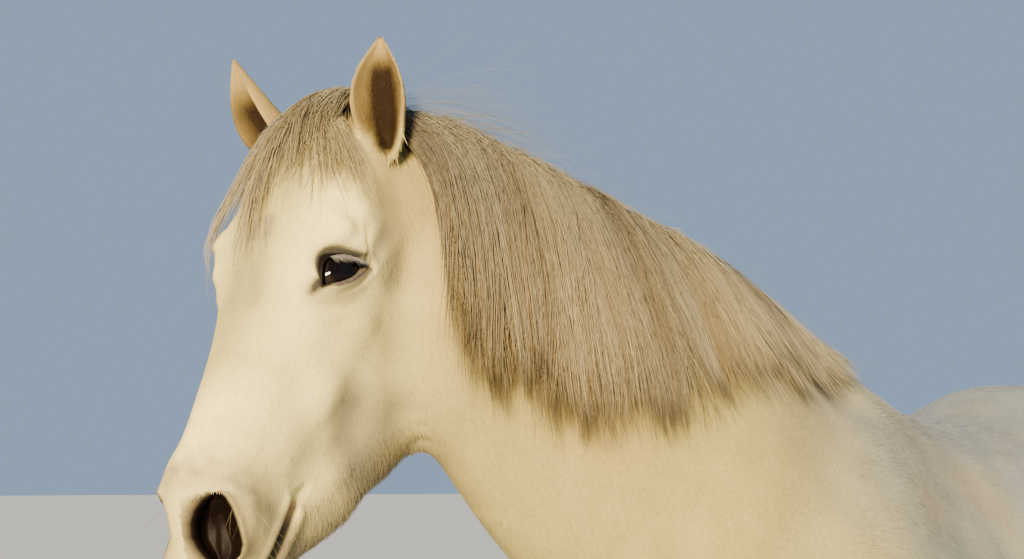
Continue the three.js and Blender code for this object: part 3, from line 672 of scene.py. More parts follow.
def ear_shares(places, normals):
    """How much each place is on an ear, and how much it is in an ear's hollow."""
    on_ear = np.zeros(len(places))
    hollow = np.zeros(len(places))
    for side in EARS:
        root, height, axes = ear_axes(side)
        own = (places - root) @ axes.T
        across, ahead, up = own.T
        share = up / height
        here = smoothstep(0.000, 0.020, up) * (share < 1.1) * (np.hypot(across, ahead - 0.006) < 0.042)
        width = read_table(HOLLOW_FORM, share, 1)[0]
        rim = np.abs(across - HOLLOW_SHIFT[side]) / (width / 2)
        near = (np.abs(across) < 0.05) & (ahead > -0.05) & (ahead < 0.045)
        inner = smoothstep(0.0, 0.4, normals @ axes[1]) * near
        inner = inner * (1 - smoothstep(*HOLLOW_TOP[side], share)) * smoothstep(-0.20, -0.08, share)
        # The hollow is darkest in its middle and paler towards its rim: painted shade deep in the ear, over
        # its brown hair.
        inner *= (1 - 0.85 * smoothstep(0.40, 1.0, rim)) * (1 - smoothstep(1.0, 1.15, rim))
        on_ear = np.maximum(on_ear, here)
        hollow = np.maximum(hollow, inner)
    return on_ear, hollow


# The line of the jaw, on the head.
JAW_LINE = ((0.22, 0.05, -0.34), (0.32, 0.05, -0.29), (0.42, 0.04, -0.23), (0.50, 0.03, -0.19))


# Tint, how much of it, how far it reaches and its path along the head, out to the side and out of
# the face. Rows marked as such paint shade where less light falls.
HEAD_MARKS = [
    # Painted shade: the neck tint and shade down the front of the face, where less light falls.
    ("neck", 0.75, 0.080, ((0.02, 0.00, 0.01), (0.12, 0.00, 0.01), (0.24, 0.00, 0.00), (0.33, 0.00, 0.00))),
    ("shade", 0.30, 0.035, ((0.25, 0.00, 0.00), (0.32, 0.00, 0.00))),
    # Darker at the temple and at the throat.
    ("shade", 0.70, 0.050, ((0.10, 0.090, -0.080), (0.15, 0.100, -0.110))),
    ("shade", 0.50, 0.070, ((0.22, 0.09, -0.31), (0.15, 0.08, -0.34))),
    # Painted shade behind the cheek, where the head shades the neck, and low on the jaw below the face's
    # curve.
    ("shade", 0.40, 0.080, ((0.17, 0.12, -0.22), (0.20, 0.10, -0.26))),
    ("shade", 0.80, 0.055, ((0.28, 0.085, -0.215), (0.34, 0.06, -0.25))),
    ("warm", 0.90, 0.130, ((0.02, 0.085, -0.10), (0.17, 0.12, -0.22), (0.10, 0.10, -0.33))),
    ("warm", 0.65, 0.070, ((0.02, 0.075, -0.05), (0.10, 0.095, -0.085))),
    ("warm", 0.45, 0.065, JAW_LINE),
    # The jaw's greyer hair, and painted shade under the jaw.
    ("shade", 0.60, 0.062, JAW_LINE),
    ("warm", 0.90, 0.120, ((0.20, 0.07, -0.32), (0.13, 0.03, -0.36), (0.02, 0.03, -0.42))),
    # Painted shade in the fold over the eye, along the crease of the same path.
    ("shade", 0.55, 0.014, ((0.180, 0.092, -0.071), (0.157, 0.097, -0.074), (0.124, 0.095, -0.085))),
    ("shade", 0.80, 0.013, ((0.172, 0.008, 0.008), (0.190, 0.010, 0.006))),
    ("shade", 0.32, 0.018, ((0.20, 0.007, 0.005), (0.27, 0.015, -0.010))),
    # Painted shade: the neck tint at the back of the cheek, and shade low on the cheek below the face's
    # curve.
    ("neck", 0.45, 0.100, ((0.24, 0.09, -0.10), (0.22, 0.10, -0.18), (0.20, 0.10, -0.26))),
    ("shade", 0.88, 0.050, ((0.31, 0.075, -0.155), (0.335, 0.064, -0.18), (0.35, 0.055, -0.21))),
    ("lip", 0.95, 0.011, ((0.434, 0.042, -0.1545), (0.452, 0.043, -0.1555))),
]
# The same on the body's axes, not mirrored.
BODY_MARKS = [
    ("rust", 0.55, 0.110, ((0.99, -0.12, 1.50), (0.94, -0.09, 1.42), (0.88, -0.05, 1.36))),
    ("warm", 0.40, 0.200, ((0.95, -0.10, 1.30), (0.85, 0.02, 1.15))),
    ("cream", 0.50, 0.090, ((0.38, 0.02, 1.35), (0.46, 0.03, 1.36))),
    ("warm", 0.35, 0.120, ((0.62, 0.08, 1.36), (0.78, 0.02, 1.34))),
]


def blend_to(colours, colour, share):
    return colours + (np.asarray(colour)[None, :] - colours) * np.clip(share, 0, 1)[:, None]


def coat_colours(places, normals):
    """The coat's colour at each place, for skin and tufts alike, with painted shade in some of its tints and
    marks.
    """
    tints = bpy.context.scene.horse_tints
    heads = to_head(places)
    own = to_both_sides(heads)
    body = to_body(places)
    colours = np.tile(np.asarray(tints.cream[:]), (len(places), 1))

    def blend(tint, share):
        return blend_to(colours, getattr(tints, tint), share)

    off_face = near_path(own, ((0.06, 0.02, -0.06), (0.25, 0.03, -0.08), (0.55, 0.03, -0.10)))
    # The neck's tint: partly its own darker coat, partly painted shade where less light falls than on the
    # face.
    colours = blend("neck", smoothstep(0.13, 0.23, off_face))
    # Shoulder and chest: partly their greyer coat, partly painted shade.
    colours = blend("shoulder_coat_and_shade", 0.9 * smoothstep(0.80, 0.48, body[:, 0]))
    # Back and quarters: partly a cool grey coat, partly painted shade in blue sky light where the sun does
    # not reach.
    colours = blend("cool_coat_and_sky_shade", smoothstep(0.42, 0.05, body[:, 0]) * (0.85 + 0.12 * wander(places, 0.35, 3)))
    colours = blend("warm", 0.28 * np.clip(wander(places, 0.22, 5), 0, 1))
    for tint, share, reach, path in HEAD_MARKS:
        colours = blend(tint, share * swell(own, path, reach))
    for tint, share, reach, path in BODY_MARKS:
        colours = blend(tint, share * swell(body, path, reach))
    on_head = smoothstep(-0.10, 0.02, heads[:, 0]) * (np.linalg.norm(heads * (0.3, 1, 0.6), axis=1) < 0.30)
    muzzle = on_head * smoothstep(0.435, 0.485, heads[:, 0])
    band = on_head * bell(heads[:, 0], 0.463, 0.018)
    colours = blend("shade", 0.35 * muzzle + 0.50 * band * (0.7 + 0.3 * wander(places, 0.03, 9)))
    nostril, hollow = nostril_measures(places)
    nose_side = inner_side(nostril)
    # Muzzle tint round each nostril: thin hair over dark skin, wider and darker on the nose's side as painted
    # shade down the slope.
    nostril_ring_and_slope_shade = smoothstep(-0.022, 0.0, hollow * (1 - 0.35 * nose_side))
    colours = blend("muzzle", (0.55 + 0.35 * nose_side) * nostril_ring_and_slope_shade * muzzle)
    line, shown = mouth_measures(places)
    lips = on_head * shown * bell(line, 0, 0.012) * smoothstep(0.440, 0.458, heads[:, 0])
    colours = blend("muzzle", 0.7 * lips)
    gaze, inside = lid_measures(places)
    face_side = gaze[:, 2] > 0
    colours = blend("shade", 0.62 * face_side * smoothstep(-0.030, -0.003, inside))
    upper = 1 - smoothstep(-0.002, 0.007, gaze[:, 1] - 0.10 * gaze[:, 0])
    above = face_side * smoothstep(-0.0165, -0.0085, inside) * upper
    colours = blend("dark_hair", above * (0.98 + 0.02 * wander(places, 0.006, 11)))
    colours = blend("lid_rim", 0.9 * face_side * lower_rim(gaze, inside))
    on_ear, hollow = ear_shares(places, normals)
    colours = blend("ear_tan", 0.90 * on_ear)
    # Brown hair in the ear hollows, with painted shade in their depths.
    colours = blend("ear_hollow_and_shade", 0.98 * hollow)
    low_leg = smoothstep(0.60, 0.20, body[:, 2]) * (body[:, 2] < 0.7)
    colours = blend("shade", 0.45 * low_leg)
    belly = smoothstep(0.95, 0.78, body[:, 2]) * smoothstep(0.60, 0.75, body[:, 2])
    colours = blend("warm", 0.3 * belly)
    return np.clip(colours * (1 + 0.06 * wander(places, 0.06, 13))[:, None], DARKEST, 1)


# ---------------------------------------------------------------- lie of the coat

WHORL = np.array((0.186, 0.0, 0.014))


def region_shares(places):
    """For each place, the share of each region's solids near it."""
    trees = [solids_tree(nodes) for nodes in REGIONS.values()]
    away = np.array([[tree.find_nearest(Vector(place))[3] for tree in trees] for place in places])
    shares = 1 / (away + 0.012) ** 3
    return shares / shares.sum(axis=1, keepdims=True)


def lie_of_coat(places, normals, shares):
    """The way the hair lies at each place."""
    heads = to_head(places)
    from_whorl = unit(heads - WHORL)
    turn = np.exp(-np.linalg.norm(heads - WHORL, axis=1) / 0.05)[:, None]
    cheek = (smoothstep(-0.06, -0.20, heads[:, 2]) * (1 - smoothstep(0.38, 0.48, heads[:, 0])))[:, None]
    side = np.sign(heads[:, 1])[:, None]
    face = np.array((1.0, 0.0, 0.0)) + side * np.array((0, 0.25, 0)) + cheek * np.array((-0.35, 0.0, -0.75))
    head_way = unit(face * (1 - turn) + from_whorl * turn * 1.6) @ HEAD
    body = to_body(places)
    neck_way = np.tile(np.array((-0.45, 0.0, -0.85)) @ BODY, (len(places), 1))
    steep = smoothstep(0.0, 0.30, np.abs(body[:, 1]))[:, None]
    back = np.array((-1.0, 0.0, -0.12)) + steep * np.array((0.25, 0.0, -0.45))
    buttock = smoothstep(-0.60, -0.78, body[:, 0])[:, None]
    trunk_way = unit(back * (1 - buttock) + np.array((-0.15, 0.0, -1.0)) * buttock) @ BODY
    leg_way = np.tile(np.array((-0.10, 0.0, -1.0)) @ BODY, (len(places), 1))
    ways = np.stack((head_way, neck_way, trunk_way, leg_way), axis=1)
    way = (ways * shares[:, :, None]).sum(axis=1)
    way -= normals * (way * normals).sum(axis=1, keepdims=True)
    return unit(way)


def coat_depth(places, shares):
    """How far the skin lies under the tips of the coat."""
    sizes = bpy.context.scene.horse_sizes
    gaze, inside = lid_measures(places)
    on_face = sizes.face_coat * (1 - 0.6 * smoothstep(0.42, 0.50, to_head(places)[:, 0]))
    on_face *= 1 - 0.7 * smoothstep(-0.030, -0.010, inside) * (gaze[:, 2] > 0)
    on_body = np.full(len(places), sizes.body_coat)
    on_leg = np.full(len(places), sizes.leg_coat)
    return (np.stack((on_face, on_body, on_body, on_leg), axis=1) * shares).sum(axis=1)


# ---------------------------------------------------------------- skin

def wants_head(middles):
    along, side, out = to_both_sides(to_head(middles)).T
    return (along > -0.04) & (side < 0.14) & (out > -0.37 + 0.2 * (along > 0.5)) & (out < 0.08)


def wants_features(middles):
    own = to_both_sides(to_head(middles))
    along, side, out = own.T
    muzzle = (along > 0.405) & (side < 0.09) & (out > -0.26) & (out < 0.06)
    return (near_path(own, (EYE_PLACE,)) < 0.078) | muzzle


def wants_edges(middles):
    own = to_both_sides(to_head(middles))
    gaze, inside = lid_measures(middles)
    eye = (inside > -0.020) & (gaze[:, 2] > 0.0) & (np.abs(gaze[:, 0]) < 0.052)
    _, hollow = nostril_measures(middles)
    line, shown = mouth_measures(middles)
    mouth = (np.abs(line) < 0.011) & (shown > 0.05) & (own[:, 1] < 0.08)
    return eye | (hollow > -0.010) | mouth


def build_skin():
    """One closed skin under the tips of the coat, with the features of the face and the ears, and
    with all that the coat and the material need to know kept on its points."""
    off_ears = [node for node in FLESH + HOOVES if not node.startswith("ear")]
    solids = merged_copy(off_ears + ["eye_left", "eye_right"])
    mesh = as_one_surface(solids, bpy.context.scene.horse_sizes.skin_cell)
    smooth_mesh(mesh, 14)
    shares = region_shares(places_of(mesh))
    raise_forms(mesh, BODY_FORMS, to_body, shares[:, 1:].sum(axis=1))
    places = places_of(mesh)
    even = relax(places, edges_of(mesh), 70)
    set_places(mesh, places + (even - places) * smoothstep(0.5, 1.0, shares[:, 2])[:, None])
    push_out(mesh, -coat_depth(places_of(mesh), shares))
    finer(mesh, wants_head)
    smooth_mesh(mesh, 3)
    raise_forms(mesh, HEAD_FORMS, to_head, smoothstep(-0.10, 0.0, to_head(places_of(mesh))[:, 0]))
    mesh = join_ears(mesh)
    finer(mesh, wants_features)
    smooth_mesh(mesh, 1)
    finer(mesh, wants_edges)
    smooth_mesh(mesh, 1)
    places = places_of(mesh)
    normals = normals_of(mesh)
    shares = region_shares(places)
    for column, name in enumerate(REGIONS):
        point_values(mesh, name, shares[:, column])
    on_ear, hollow = ear_shares(places, normals)
    point_values(mesh, "ear", on_ear)
    point_values(mesh, "hollow", hollow)
    point_values(mesh, "bare", bare_share(places))
    point_colours(mesh, "coat", coat_colours(places, normals))
    shape_nostrils(mesh)
    shape_mouth(mesh)
    shape_lids(mesh)
    return mesh


# ---------------------------------------------------------------- materials

def socket(shader, name, value):
    shader.inputs[name].default_value = value


class Finish:
    """A material's node tree, with short ways to add and join its nodes."""

    def __init__(self, name, constants):
        self.material = bpy.data.materials.new(name)
        self.material.use_nodes = True
        self.tree = self.material.node_tree
        self.shader = self.tree.nodes["Principled BSDF"]
        for key, value in constants.items():
            socket(self.shader, key, value)

    def add(self, kind, **settings):
        node = self.tree.nodes.new(kind)
        for key, value in settings.items():
            setattr(node, key, value)
        return node

    def join(self, source, target):
        self.tree.links.new(source, target)

    def feed(self, name, source):
        self.join(source, self.shader.inputs[name])

    def value(self, name):
        return self.add("ShaderNodeAttribute", attribute_name=name).outputs["Fac"]

    def coat_colour(self):
        return self.add("ShaderNodeAttribute", attribute_name="coat").outputs["Color"]

    def where(self):
        return self.add("ShaderNodeTexCoord").outputs["Object"]

    def noise(self, vector, scale, detail=3.0):
        node = self.add("ShaderNodeTexNoise")
        socket(node, "Scale", scale)
        socket(node, "Detail", detail)
        socket(node, "Roughness", 0.6)
        self.join(vector, node.inputs["Vector"])
        return node.outputs["Fac"]

    def streaks(self, way, across, stretch):
        """Noise drawn out along one way, with streaks of the given width."""
        turn = self.add("ShaderNodeMapping")
        socket(turn, "Rotation", Vector(way).rotation_difference(Vector((0, 0, 1))).to_euler())
        squeeze = self.add("ShaderNodeMapping")
        socket(squeeze, "Scale", (1, 1, 1 / stretch))
        self.join(self.where(), turn.inputs["Vector"])
        self.join(turn.outputs["Vector"], squeeze.inputs["Vector"])
        return self.noise(squeeze.outputs["Vector"], 1 / across)

    def mix(self, share, first, second, blend="MIX"):
        """Two colours mixed. Each of the three can be a value or another node's output."""
        node = self.add("ShaderNodeMix", data_type="RGBA", blend_type=blend)
        for value, index in ((share, 0), (first, 6), (second, 7)):
            if isinstance(value, bpy.types.NodeSocket):
                self.join(value, node.inputs[index])
            else:
                node.inputs[index].default_value = value
        return node.outputs[2]

    def ramp(self, value, *stops):
        """Colours or greys at rising places from 0 to 1, with even steps between them."""
        node = self.add("ShaderNodeValToRGB")
        for index, (place, tone) in enumerate(stops):
            if index > 1:
                node.color_ramp.elements.new(place)
            element = node.color_ramp.elements[index]
            element.position = place
            element.color = (*tone, 1) if hasattr(tone, "__len__") else (tone, tone, tone, 1)
        self.join(value, node.inputs["Fac"])
        return node.outputs["Color"]

    def bump(self, height, strength, distance):
        node = self.add("ShaderNodeBump")
        socket(node, "Strength", strength)
        socket(node, "Distance", distance)
        self.join(height, node.inputs["Height"])
        self.feed("Normal", node.outputs["Normal"])


def skin_finish():
    """Short hair over skin, which is bare and dark at the eyes, nostrils and lips."""
    tints = bpy.context.scene.horse_tints
    made = Finish("coat_over_skin", {"Specular IOR Level": 0.07})
    bare = made.value("bare")
    on_head = made.streaks(HEAD[0], 0.0016, 7)
    on_body = made.streaks(np.array((-0.75, 0, -0.6)) @ BODY, 0.0028, 9)
    on_legs = made.streaks((0, 0, -1), 0.0022, 8)
    hairs = made.mix(made.value("legs"), made.mix(made.value("head"), on_body, on_head), on_legs)
    shades = made.ramp(hairs, (0.25, 0.74), (0.5, 0.98), (0.75, 1.10))
    coat = made.mix(1.0, made.coat_colour(), shades, "MULTIPLY")
    pores = made.noise(made.where(), 900, 4)
    dark = made.ramp(pores, (0.3, tuple(tints.bare_dark)), (0.75, tuple(tints.bare_light)))
    made.feed("Base Color", made.mix(bare, coat, dark))
    made.feed("Roughness", made.ramp(bare, (0.0, 0.82), (1.0, 0.50)))
    grain = made.ramp(pores, (0.3, 0.44), (0.75, 0.56))
    made.bump(made.mix(bare, hairs, grain), 0.50, 0.0010)
    return made.material


def hair_finish(name, roughness=0.5, sheen=0.0):
    """Hair that takes its colour from its own points."""
    made = Finish(name, {"Roughness": roughness, "Specular IOR Level": 0.35, "Sheen Weight": sheen})
    patches = made.ramp(made.noise(made.where(), 60, 2), (0.3, 0.90), (0.7, 1.06))
    made.feed("Base Color", made.mix(1.0, made.coat_colour(), patches, "MULTIPLY"))
    return made.material


def eye_finish():
    """A dark brown iris round a level oval pupil, under a wet clear surface."""
    made = Finish("wet_eye", {"Roughness": 0.4, "Specular IOR Level": 0.0, "Coat Weight": 0.6,
                              "Coat IOR": 1.34, "Coat Roughness": 0.02})
    grain = made.ramp(made.noise(made.where(), 700, 4), (0.3, 0.5), (0.8, 1.4))
    brown = made.mix(1.0, (*bpy.context.scene.horse_tints.iris, 1), grain, "MULTIPLY")
    white = made.mix(made.noise(made.where(), 220), (0.006, 0.004, 0.0035, 1), (0.022, 0.015, 0.012, 1))
    ball = made.mix(made.value("iris"), white, brown)
    made.feed("Base Color", made.mix(made.value("pupil"), ball, (0.0025, 0.0025, 0.0035, 1)))
    return made.material


def horn_finish():
    """Hoof horn with growth rings, fine tubes down the wall and some dust."""
    made = Finish("hoof_horn", {})
    tubes = made.streaks((0, 0, 1), 0.0014, 14)
    rings = made.add("ShaderNodeTexWave", wave_type="BANDS", bands_direction="Z")
    for name, value in (("Scale", 38.0), ("Distortion", 2.5), ("Detail", 2.0)):
        socket(rings, name, value)
    made.join(made.where(), rings.inputs["Vector"])
    bands = made.mix(0.5, tubes, rings.outputs["Fac"])
    dark, light = ((*[c * factor for c in bpy.context.scene.horse_tints.horn], 1) for factor in (0.55, 1.5))
    dust = made.ramp(made.noise(made.where(), 45, 5), (0.45, 0.0), (0.75, 0.55))
    made.feed("Base Color", made.mix(dust, made.mix(bands, dark, light), (0.32, 0.27, 0.21, 1)))
    made.feed("Roughness", made.ramp(dust, (0.0, 0.48), (1.0, 0.85)))
    made.bump(bands, 0.5, 0.0012)
    return made.material


# ---------------------------------------------------------------- tufts and strands

# The corners of a hair's section: across it and up from the skin.
CORNERS = np.array(((-1.0, 0.0), (1.0, 0.0), (0.0, 0.7)))
# The side of each hair's patch on the unwrap of the skin.
PATCH = 0.003
TUFT_TAPER = (1.0, 0.55)
# How far a tuft starts under the skin, and how it lies and varies.
ROOT_DEPTH = 0.0005
TUFT_CURL = 0.4
TUFT_TONES = 0.07
TUFT_FLATNESS = 0.85
# A long hair's thickness from root to tip.
HAIR_TAPER = np.array((0.55, 0.9, 1.0, 1.0, 0.95, 0.85, 0.7, 0.5))


def hair_taper(steps):
    return np.interp(np.linspace(0, 1, steps - 1), np.linspace(0, 1, len(HAIR_TAPER)), HAIR_TAPER)


def strand_faces(rings):
    """The faces of one closed three-sided hair: its root, its sides and its tip."""
    faces = [(0, 1, 2)]
    for low in range(0, rings * 3 - 3, 3):
        faces += [(low + c, low + 3 + c, low + 3 + (c + 1) % 3, low + (c + 1) % 3) for c in range(3)]
    last = rings * 3 - 3
    return faces + [(last + c, rings * 3, last + (c + 1) % 3) for c in range(3)]


def strands(name, lines, ups, widths, colours, roots, taper, lie_flat=0.0):
    """Closed three-sided hairs or tufts along lines, joined in one mesh. Each line's colours run
    from root to tip, and roots says where its patch lies on the unwrap of the skin. Hair that
    lies flat is shaded more like the surface under it."""
    count, steps, _ = lines.shape
    rings = steps - 1

    def at_corners(values):
        """Values at the steps of each line, given to the corners of its rings and to its tip."""
        return np.concatenate((np.repeat(values[:, :rings], 3, axis=1), values[:, -1:]), axis=1)

    ways = np.empty_like(lines)
    ways[:, 1:-1] = lines[:, 2:] - lines[:, :-2]
    ways[:, 0] = lines[:, 1] - lines[:, 0]
    ways[:, -1] = lines[:, -1] - lines[:, -2]
    sides = unit(np.cross(unit(ways), ups))
    lifts = unit(np.cross(sides, unit(ways)))
    round_hair = sides[:, :rings, None] * CORNERS[:, :1] + lifts[:, :rings, None] * CORNERS[:, 1:]
    half = widths[:, None] * taper[None, :] / 2
    body = (lines[:, :rings, None] + half[:, :, None, None] * round_hair).reshape(count, rings * 3, 3)
    own = np.concatenate((body, lines[:, -1:]), axis=1)
    faces = strand_faces(rings)
    corners = np.concatenate([np.array(face) for face in faces])
    starts = np.cumsum([0] + [len(face) for face in faces[:-1]])
    hairs = np.arange(count)[:, None]
    all_corners = (corners + hairs * own.shape[1]).ravel()
    all_starts = (starts + hairs * len(corners)).ravel()
    mesh = bpy.data.meshes.new(name)
    mesh.vertices.add(own.size // 3)
    mesh.vertices.foreach_set("co", own.astype(np.float32).ravel())
    mesh.loops.add(len(all_corners))
    mesh.loops.foreach_set("vertex_index", all_corners.astype(np.int32))
    mesh.polygons.add(len(all_starts))
    mesh.polygons.foreach_set("loop_start", all_starts.astype(np.int32))
    mesh.update(calc_edges=True)
    mesh.shade_smooth()
    if colours.ndim == 2:
        colours = np.repeat(colours[:, None, :], steps, axis=1)
    point_colours(mesh, "coat", at_corners(colours).reshape(-1, 3))
    along = at_corners(np.linspace(0, 1, steps)[None, :])[0]
    cross = np.append(np.tile((-1.0, 1.0, 0.0), rings), 0.0)
    patch = roots[:, None, :] + PATCH * np.stack((cross * 0.5, along - 0.5), axis=1)
    patch = np.clip(patch, 0, 1).reshape(-1, 2)
    layer = mesh.uv_layers.new(name="OFBake")
    layer.uv.foreach_set("vector", patch[all_corners].astype(np.float32).ravel())
    if lie_flat:
        round_hair = np.concatenate((round_hair.reshape(count, rings * 3, 3), lifts[:, -1:]), axis=1)
        shading = unit(unit(round_hair) * (1 - lie_flat) + at_corners(ups) * lie_flat)
        mesh.normals_split_custom_set_from_vertices(shading.reshape(-1, 3).astype(np.float32))
    return mesh


def finish_piece(piece, material, slot, *nodes):
    piece.data.materials.clear()
    piece.data.materials.append(material)
    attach(piece, "root")
    if nodes:
        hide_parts(*nodes)


def add_hairs(name, lines, ups, widths, colours, patches, material, slot, *nodes):
    """A finished piece of long hair."""
    mesh = strands(name, lines, ups, widths, colours, patches, hair_taper(lines.shape[1]))
    finish_piece(new_object(name, mesh), material, slot, *nodes)


def inset(shares):
    """Shares moved a little way in from the edges of the unwrap."""
    return 0.01 + 0.98 * shares


def round_axis(places, origin, axis, start):
    """An unwrap of a part round its own axis: the turn about it and the way along it, 0 to 1."""
    axis = unit(np.asarray(axis, float))
    start = unit(np.asarray(start, float) - axis * (np.asarray(start) @ axis))
    off = places - origin
    turn = np.arctan2(off @ np.cross(axis, start), off @ start) / (2 * np.pi) + 0.5
    along = off @ axis
    along = (along - along.min()) / max(np.ptp(along), 1e-6)
    return np.stack((inset(turn), inset(along)), axis=1)


class Surface:
    """The skin's triangles with all that the coat needs to know at each point."""

    def __init__(self):
        mesh = bpy.data.objects["skin"].data
        mesh.calc_loop_triangles()
        self.triangles = fetched(mesh.loop_triangles, "vertices", 3, np.int32)
        self.places = places_of(mesh)
        self.normals = normals_of(mesh)
        self.head_places = to_both_sides(to_head(self.places))
        self.body_places = to_body(self.places)
        self.shares = np.stack([read_values(mesh, name) for name in REGIONS], axis=1)
        self.bare, self.ear, self.hollow = (read_values(mesh, name) for name in ("bare", "ear", "hollow"))
        self.colours = read_colours(mesh, "coat")
        a, b, c = (self.places[self.triangles[:, k]] for k in range(3))
        self.areas = np.linalg.norm(np.cross(b - a, c - a), axis=1) / 2
        off_ears = self.ear[self.triangles].max(axis=1) < 0.3
        self.tree = BVHTree.FromPolygons(self.places.tolist(), self.triangles[off_ears].tolist())

    def scatter(self, weights, count, draws):
        """Random points over the surface, as dense as the weights say, as a way to read values there."""
        per_triangle = self.areas * np.clip(weights, 0, None)[self.triangles].mean(axis=1)
        chosen = draws.choice(len(per_triangle), count, p=per_triangle / per_triangle.sum())
        first, second = draws.random((2, count))
        fold = first + second > 1
        first, second = np.where(fold, 1 - first, first), np.where(fold, 1 - second, second)
        parts = np.stack((1 - first - second, first, second), axis=1)
        corners = self.triangles[chosen]

        def read(values):
            if values.ndim == 1:
                return (values[corners] * parts).sum(axis=1)
            return (values[corners] * parts[:, :, None]).sum(axis=1)

        return read

    def nearest(self, places):
        """The nearest point of the surface to each place, off the ears, and its outward direction."""
        found = [self.tree.find_nearest(Vector(place)) for place in places]
        return np.array([f[0] for f in found]), np.array([f[1] for f in found])


def tuft_lines(surface, read, lengths, lift, swing, steps, curl):
    """Lines from the skin along the lie of the coat, rising from it towards their tips."""
    roots = read(surface.places)
    normals = unit(read(surface.normals))
    ways = lie_of_coat(roots, normals, read(surface.shares))
    on_ear = read(surface.ear)[:, None]
    for side in EARS:
        root, height, axes = ear_axes(side)
        near = np.linalg.norm(roots - root - axes[2] * height / 2, axis=1) < height * 0.8
        up_ear = axes[2] - normals * (normals @ axes[2])[:, None]
        ways = np.where(near[:, None], unit(ways * (1 - on_ear) + up_ear * on_ear), ways)
    across = np.cross(normals, ways)
    ways = ways * np.cos(swing)[:, None] + across * np.sin(swing)[:, None]
    along = np.linspace(0, 1, steps)
    lines = (roots - ROOT_DEPTH * normals)[:, None] + ways[:, None] * (lengths[:, None] * along)[:, :, None]
    rise = (lengths * lift)[:, None] * (along - curl * along ** 2)
    return lines + normals[:, None, :] * rise[:, :, None], normals


def tufted(name, surface, weights, count, length, width, lift, spread, steps, seed, unwrap):
    """A piece of tufts of short hair that lie along the coat."""
    draws = np.random.default_rng(seed)
    read = surface.scatter(weights * (1 - surface.bare), count, draws)
    roots = read(surface.places)
    own = read(surface.head_places)
    on_head = read(surface.shares)[:, 0]
    lengths = length * draws.uniform(0.65, 1.25, count) * (1 - 0.3 * read(surface.ear))
    lengths *= 1 - 0.45 * smoothstep(0.40, 0.50, own[:, 0]) * on_head
    lengths *= 1 - 0.65 * smoothstep(0.062, 0.040, near_path(own, (EYE_PLACE,))) * on_head
    swing = spread * (0.7 * wander(roots, 0.05, seed + 1) + 0.6 * draws.normal(size=count))
    lifts = lift * draws.uniform(0.4, 1.4, count)
    lines, normals = tuft_lines(surface, read, lengths, lifts, swing, steps, TUFT_CURL)
    colours = read(surface.colours) * (1 + TUFT_TONES * draws.normal(size=(count, 1)))
    fade = np.linspace(0.90, 1.08, steps)
    colours = np.clip(colours[:, None, :] * fade[None, :, None], DARKEST, 1)
    mesh = strands(name, lines, np.repeat(normals[:, None, :], steps, axis=1),
                   width * draws.uniform(0.7, 1.3, count), colours, unwrap(roots),
                   np.linspace(*TUFT_TAPER, steps - 1), TUFT_FLATNESS)
    return new_object(name, mesh)


def hang(surface, roots, ways, lengths, heights, pull, steps, slack, mound):
    """Lines of long hair that leave their roots, bend over to hang, and rest on the body at their
    own height over it. With slack they may stand off the body by that much, and over a mound they
    start that much higher."""
    lines = np.empty((len(roots), steps, 3))
    lines[:, 0] = roots
    here = roots.copy()
    stride = (lengths / (steps - 1))[:, None]
    for step in range(1, steps):
        share = step / (steps - 1)
        ways = unit(ways + pull)
        ahead = here + ways * stride
        ground, outward = surface.nearest(ahead)
        off = ahead - ground
        away = (off * outward).sum(axis=1)
        rest = heights * min(1.0, 0.35 + 2.2 * share)
        rest = rest + mound * min(1.0, 9 * share) * (1 - smoothstep(0.10, 0.55, share))
        direction = unit(np.where(away[:, None] > 0.002, off, outward) + outward * 0.002)
        held = ground + direction * np.clip(away, rest, rest + slack)[:, None]
        ways = unit(unit(held - here) + ways * 0.5)
        here = held
        lines[:, step] = here
    for _ in range(2):
        lines[:, 1:-1] += 0.25 * (lines[:, 2:] + lines[:, :-2] - 2 * lines[:, 1:-1])
    return lines


def waved(lines, ups, sizes, turns, phases):
    """Lines with a sideways wave that grows towards their tips."""
    ways = unit(np.gradient(lines, axis=1))
    across = unit(np.cross(ways, ups))
    along = np.linspace(0, 1, lines.shape[1])[None, :]
    wave = sizes[:, None] * along * np.sin(2 * np.pi * (turns[:, None] * along + phases[:, None]))
    return lines + across * wave[:, :, None]


def gathered(lines, groups, amount):
    """Lines drawn together towards their tips, group by group."""
    count = groups.max() + 1
    flat = lines.reshape(len(lines), -1)
    total = np.stack([np.bincount(groups, flat[:, k], count) for k in range(flat.shape[1])], axis=1)
    middles = total / np.maximum(np.bincount(groups, minlength=count), 1)[:, None]
    target = middles[groups].reshape(lines.shape)
    pull = np.linspace(0, 1, lines.shape[1])[None, :, None] ** 1.4 * amount[:, None, None]
    return lines + (target - lines) * pull


def outward_ups(surface, lines):
    """Directions away from the body, one for each line, for all its points."""
    _, outward = surface.nearest(lines[:, lines.shape[1] // 2])
    return np.repeat(outward[:, None, :], lines.shape[1], axis=1)


def share_before(met, least):
    """The share of each line before the first of its steps that met something."""
    steps = met.shape[1]
    first = np.where(met.any(axis=1), met.argmax(axis=1), steps)
    return np.clip((first - 1) / (steps - 1), least, 1)


# ---------------------------------------------------------------- settings

def size(name, description, default):
    return FloatProperty(name=name, description=description, default=default, unit="LENGTH")


def tint(name, description, *default):
    return FloatVectorProperty(name=name, description=description, default=default, subtype="COLOR")


class HorseSizes(bpy.types.PropertyGroup):
    """Sizes of the skin and the coat, and the start of the random draws."""

    skin_cell: size("Skin cell", "Size of the skin's faces on the body", 0.012)
    body_coat: size("Body coat", "Depth of the coat on neck and trunk", 0.008)
    face_coat: size("Face coat", "Depth of the coat on the face", 0.003)
    leg_coat: size("Leg coat", "Depth of the coat on the legs", 0.005)
    seed: IntProperty(name="Seed", description="Start of the random draws", default=7)


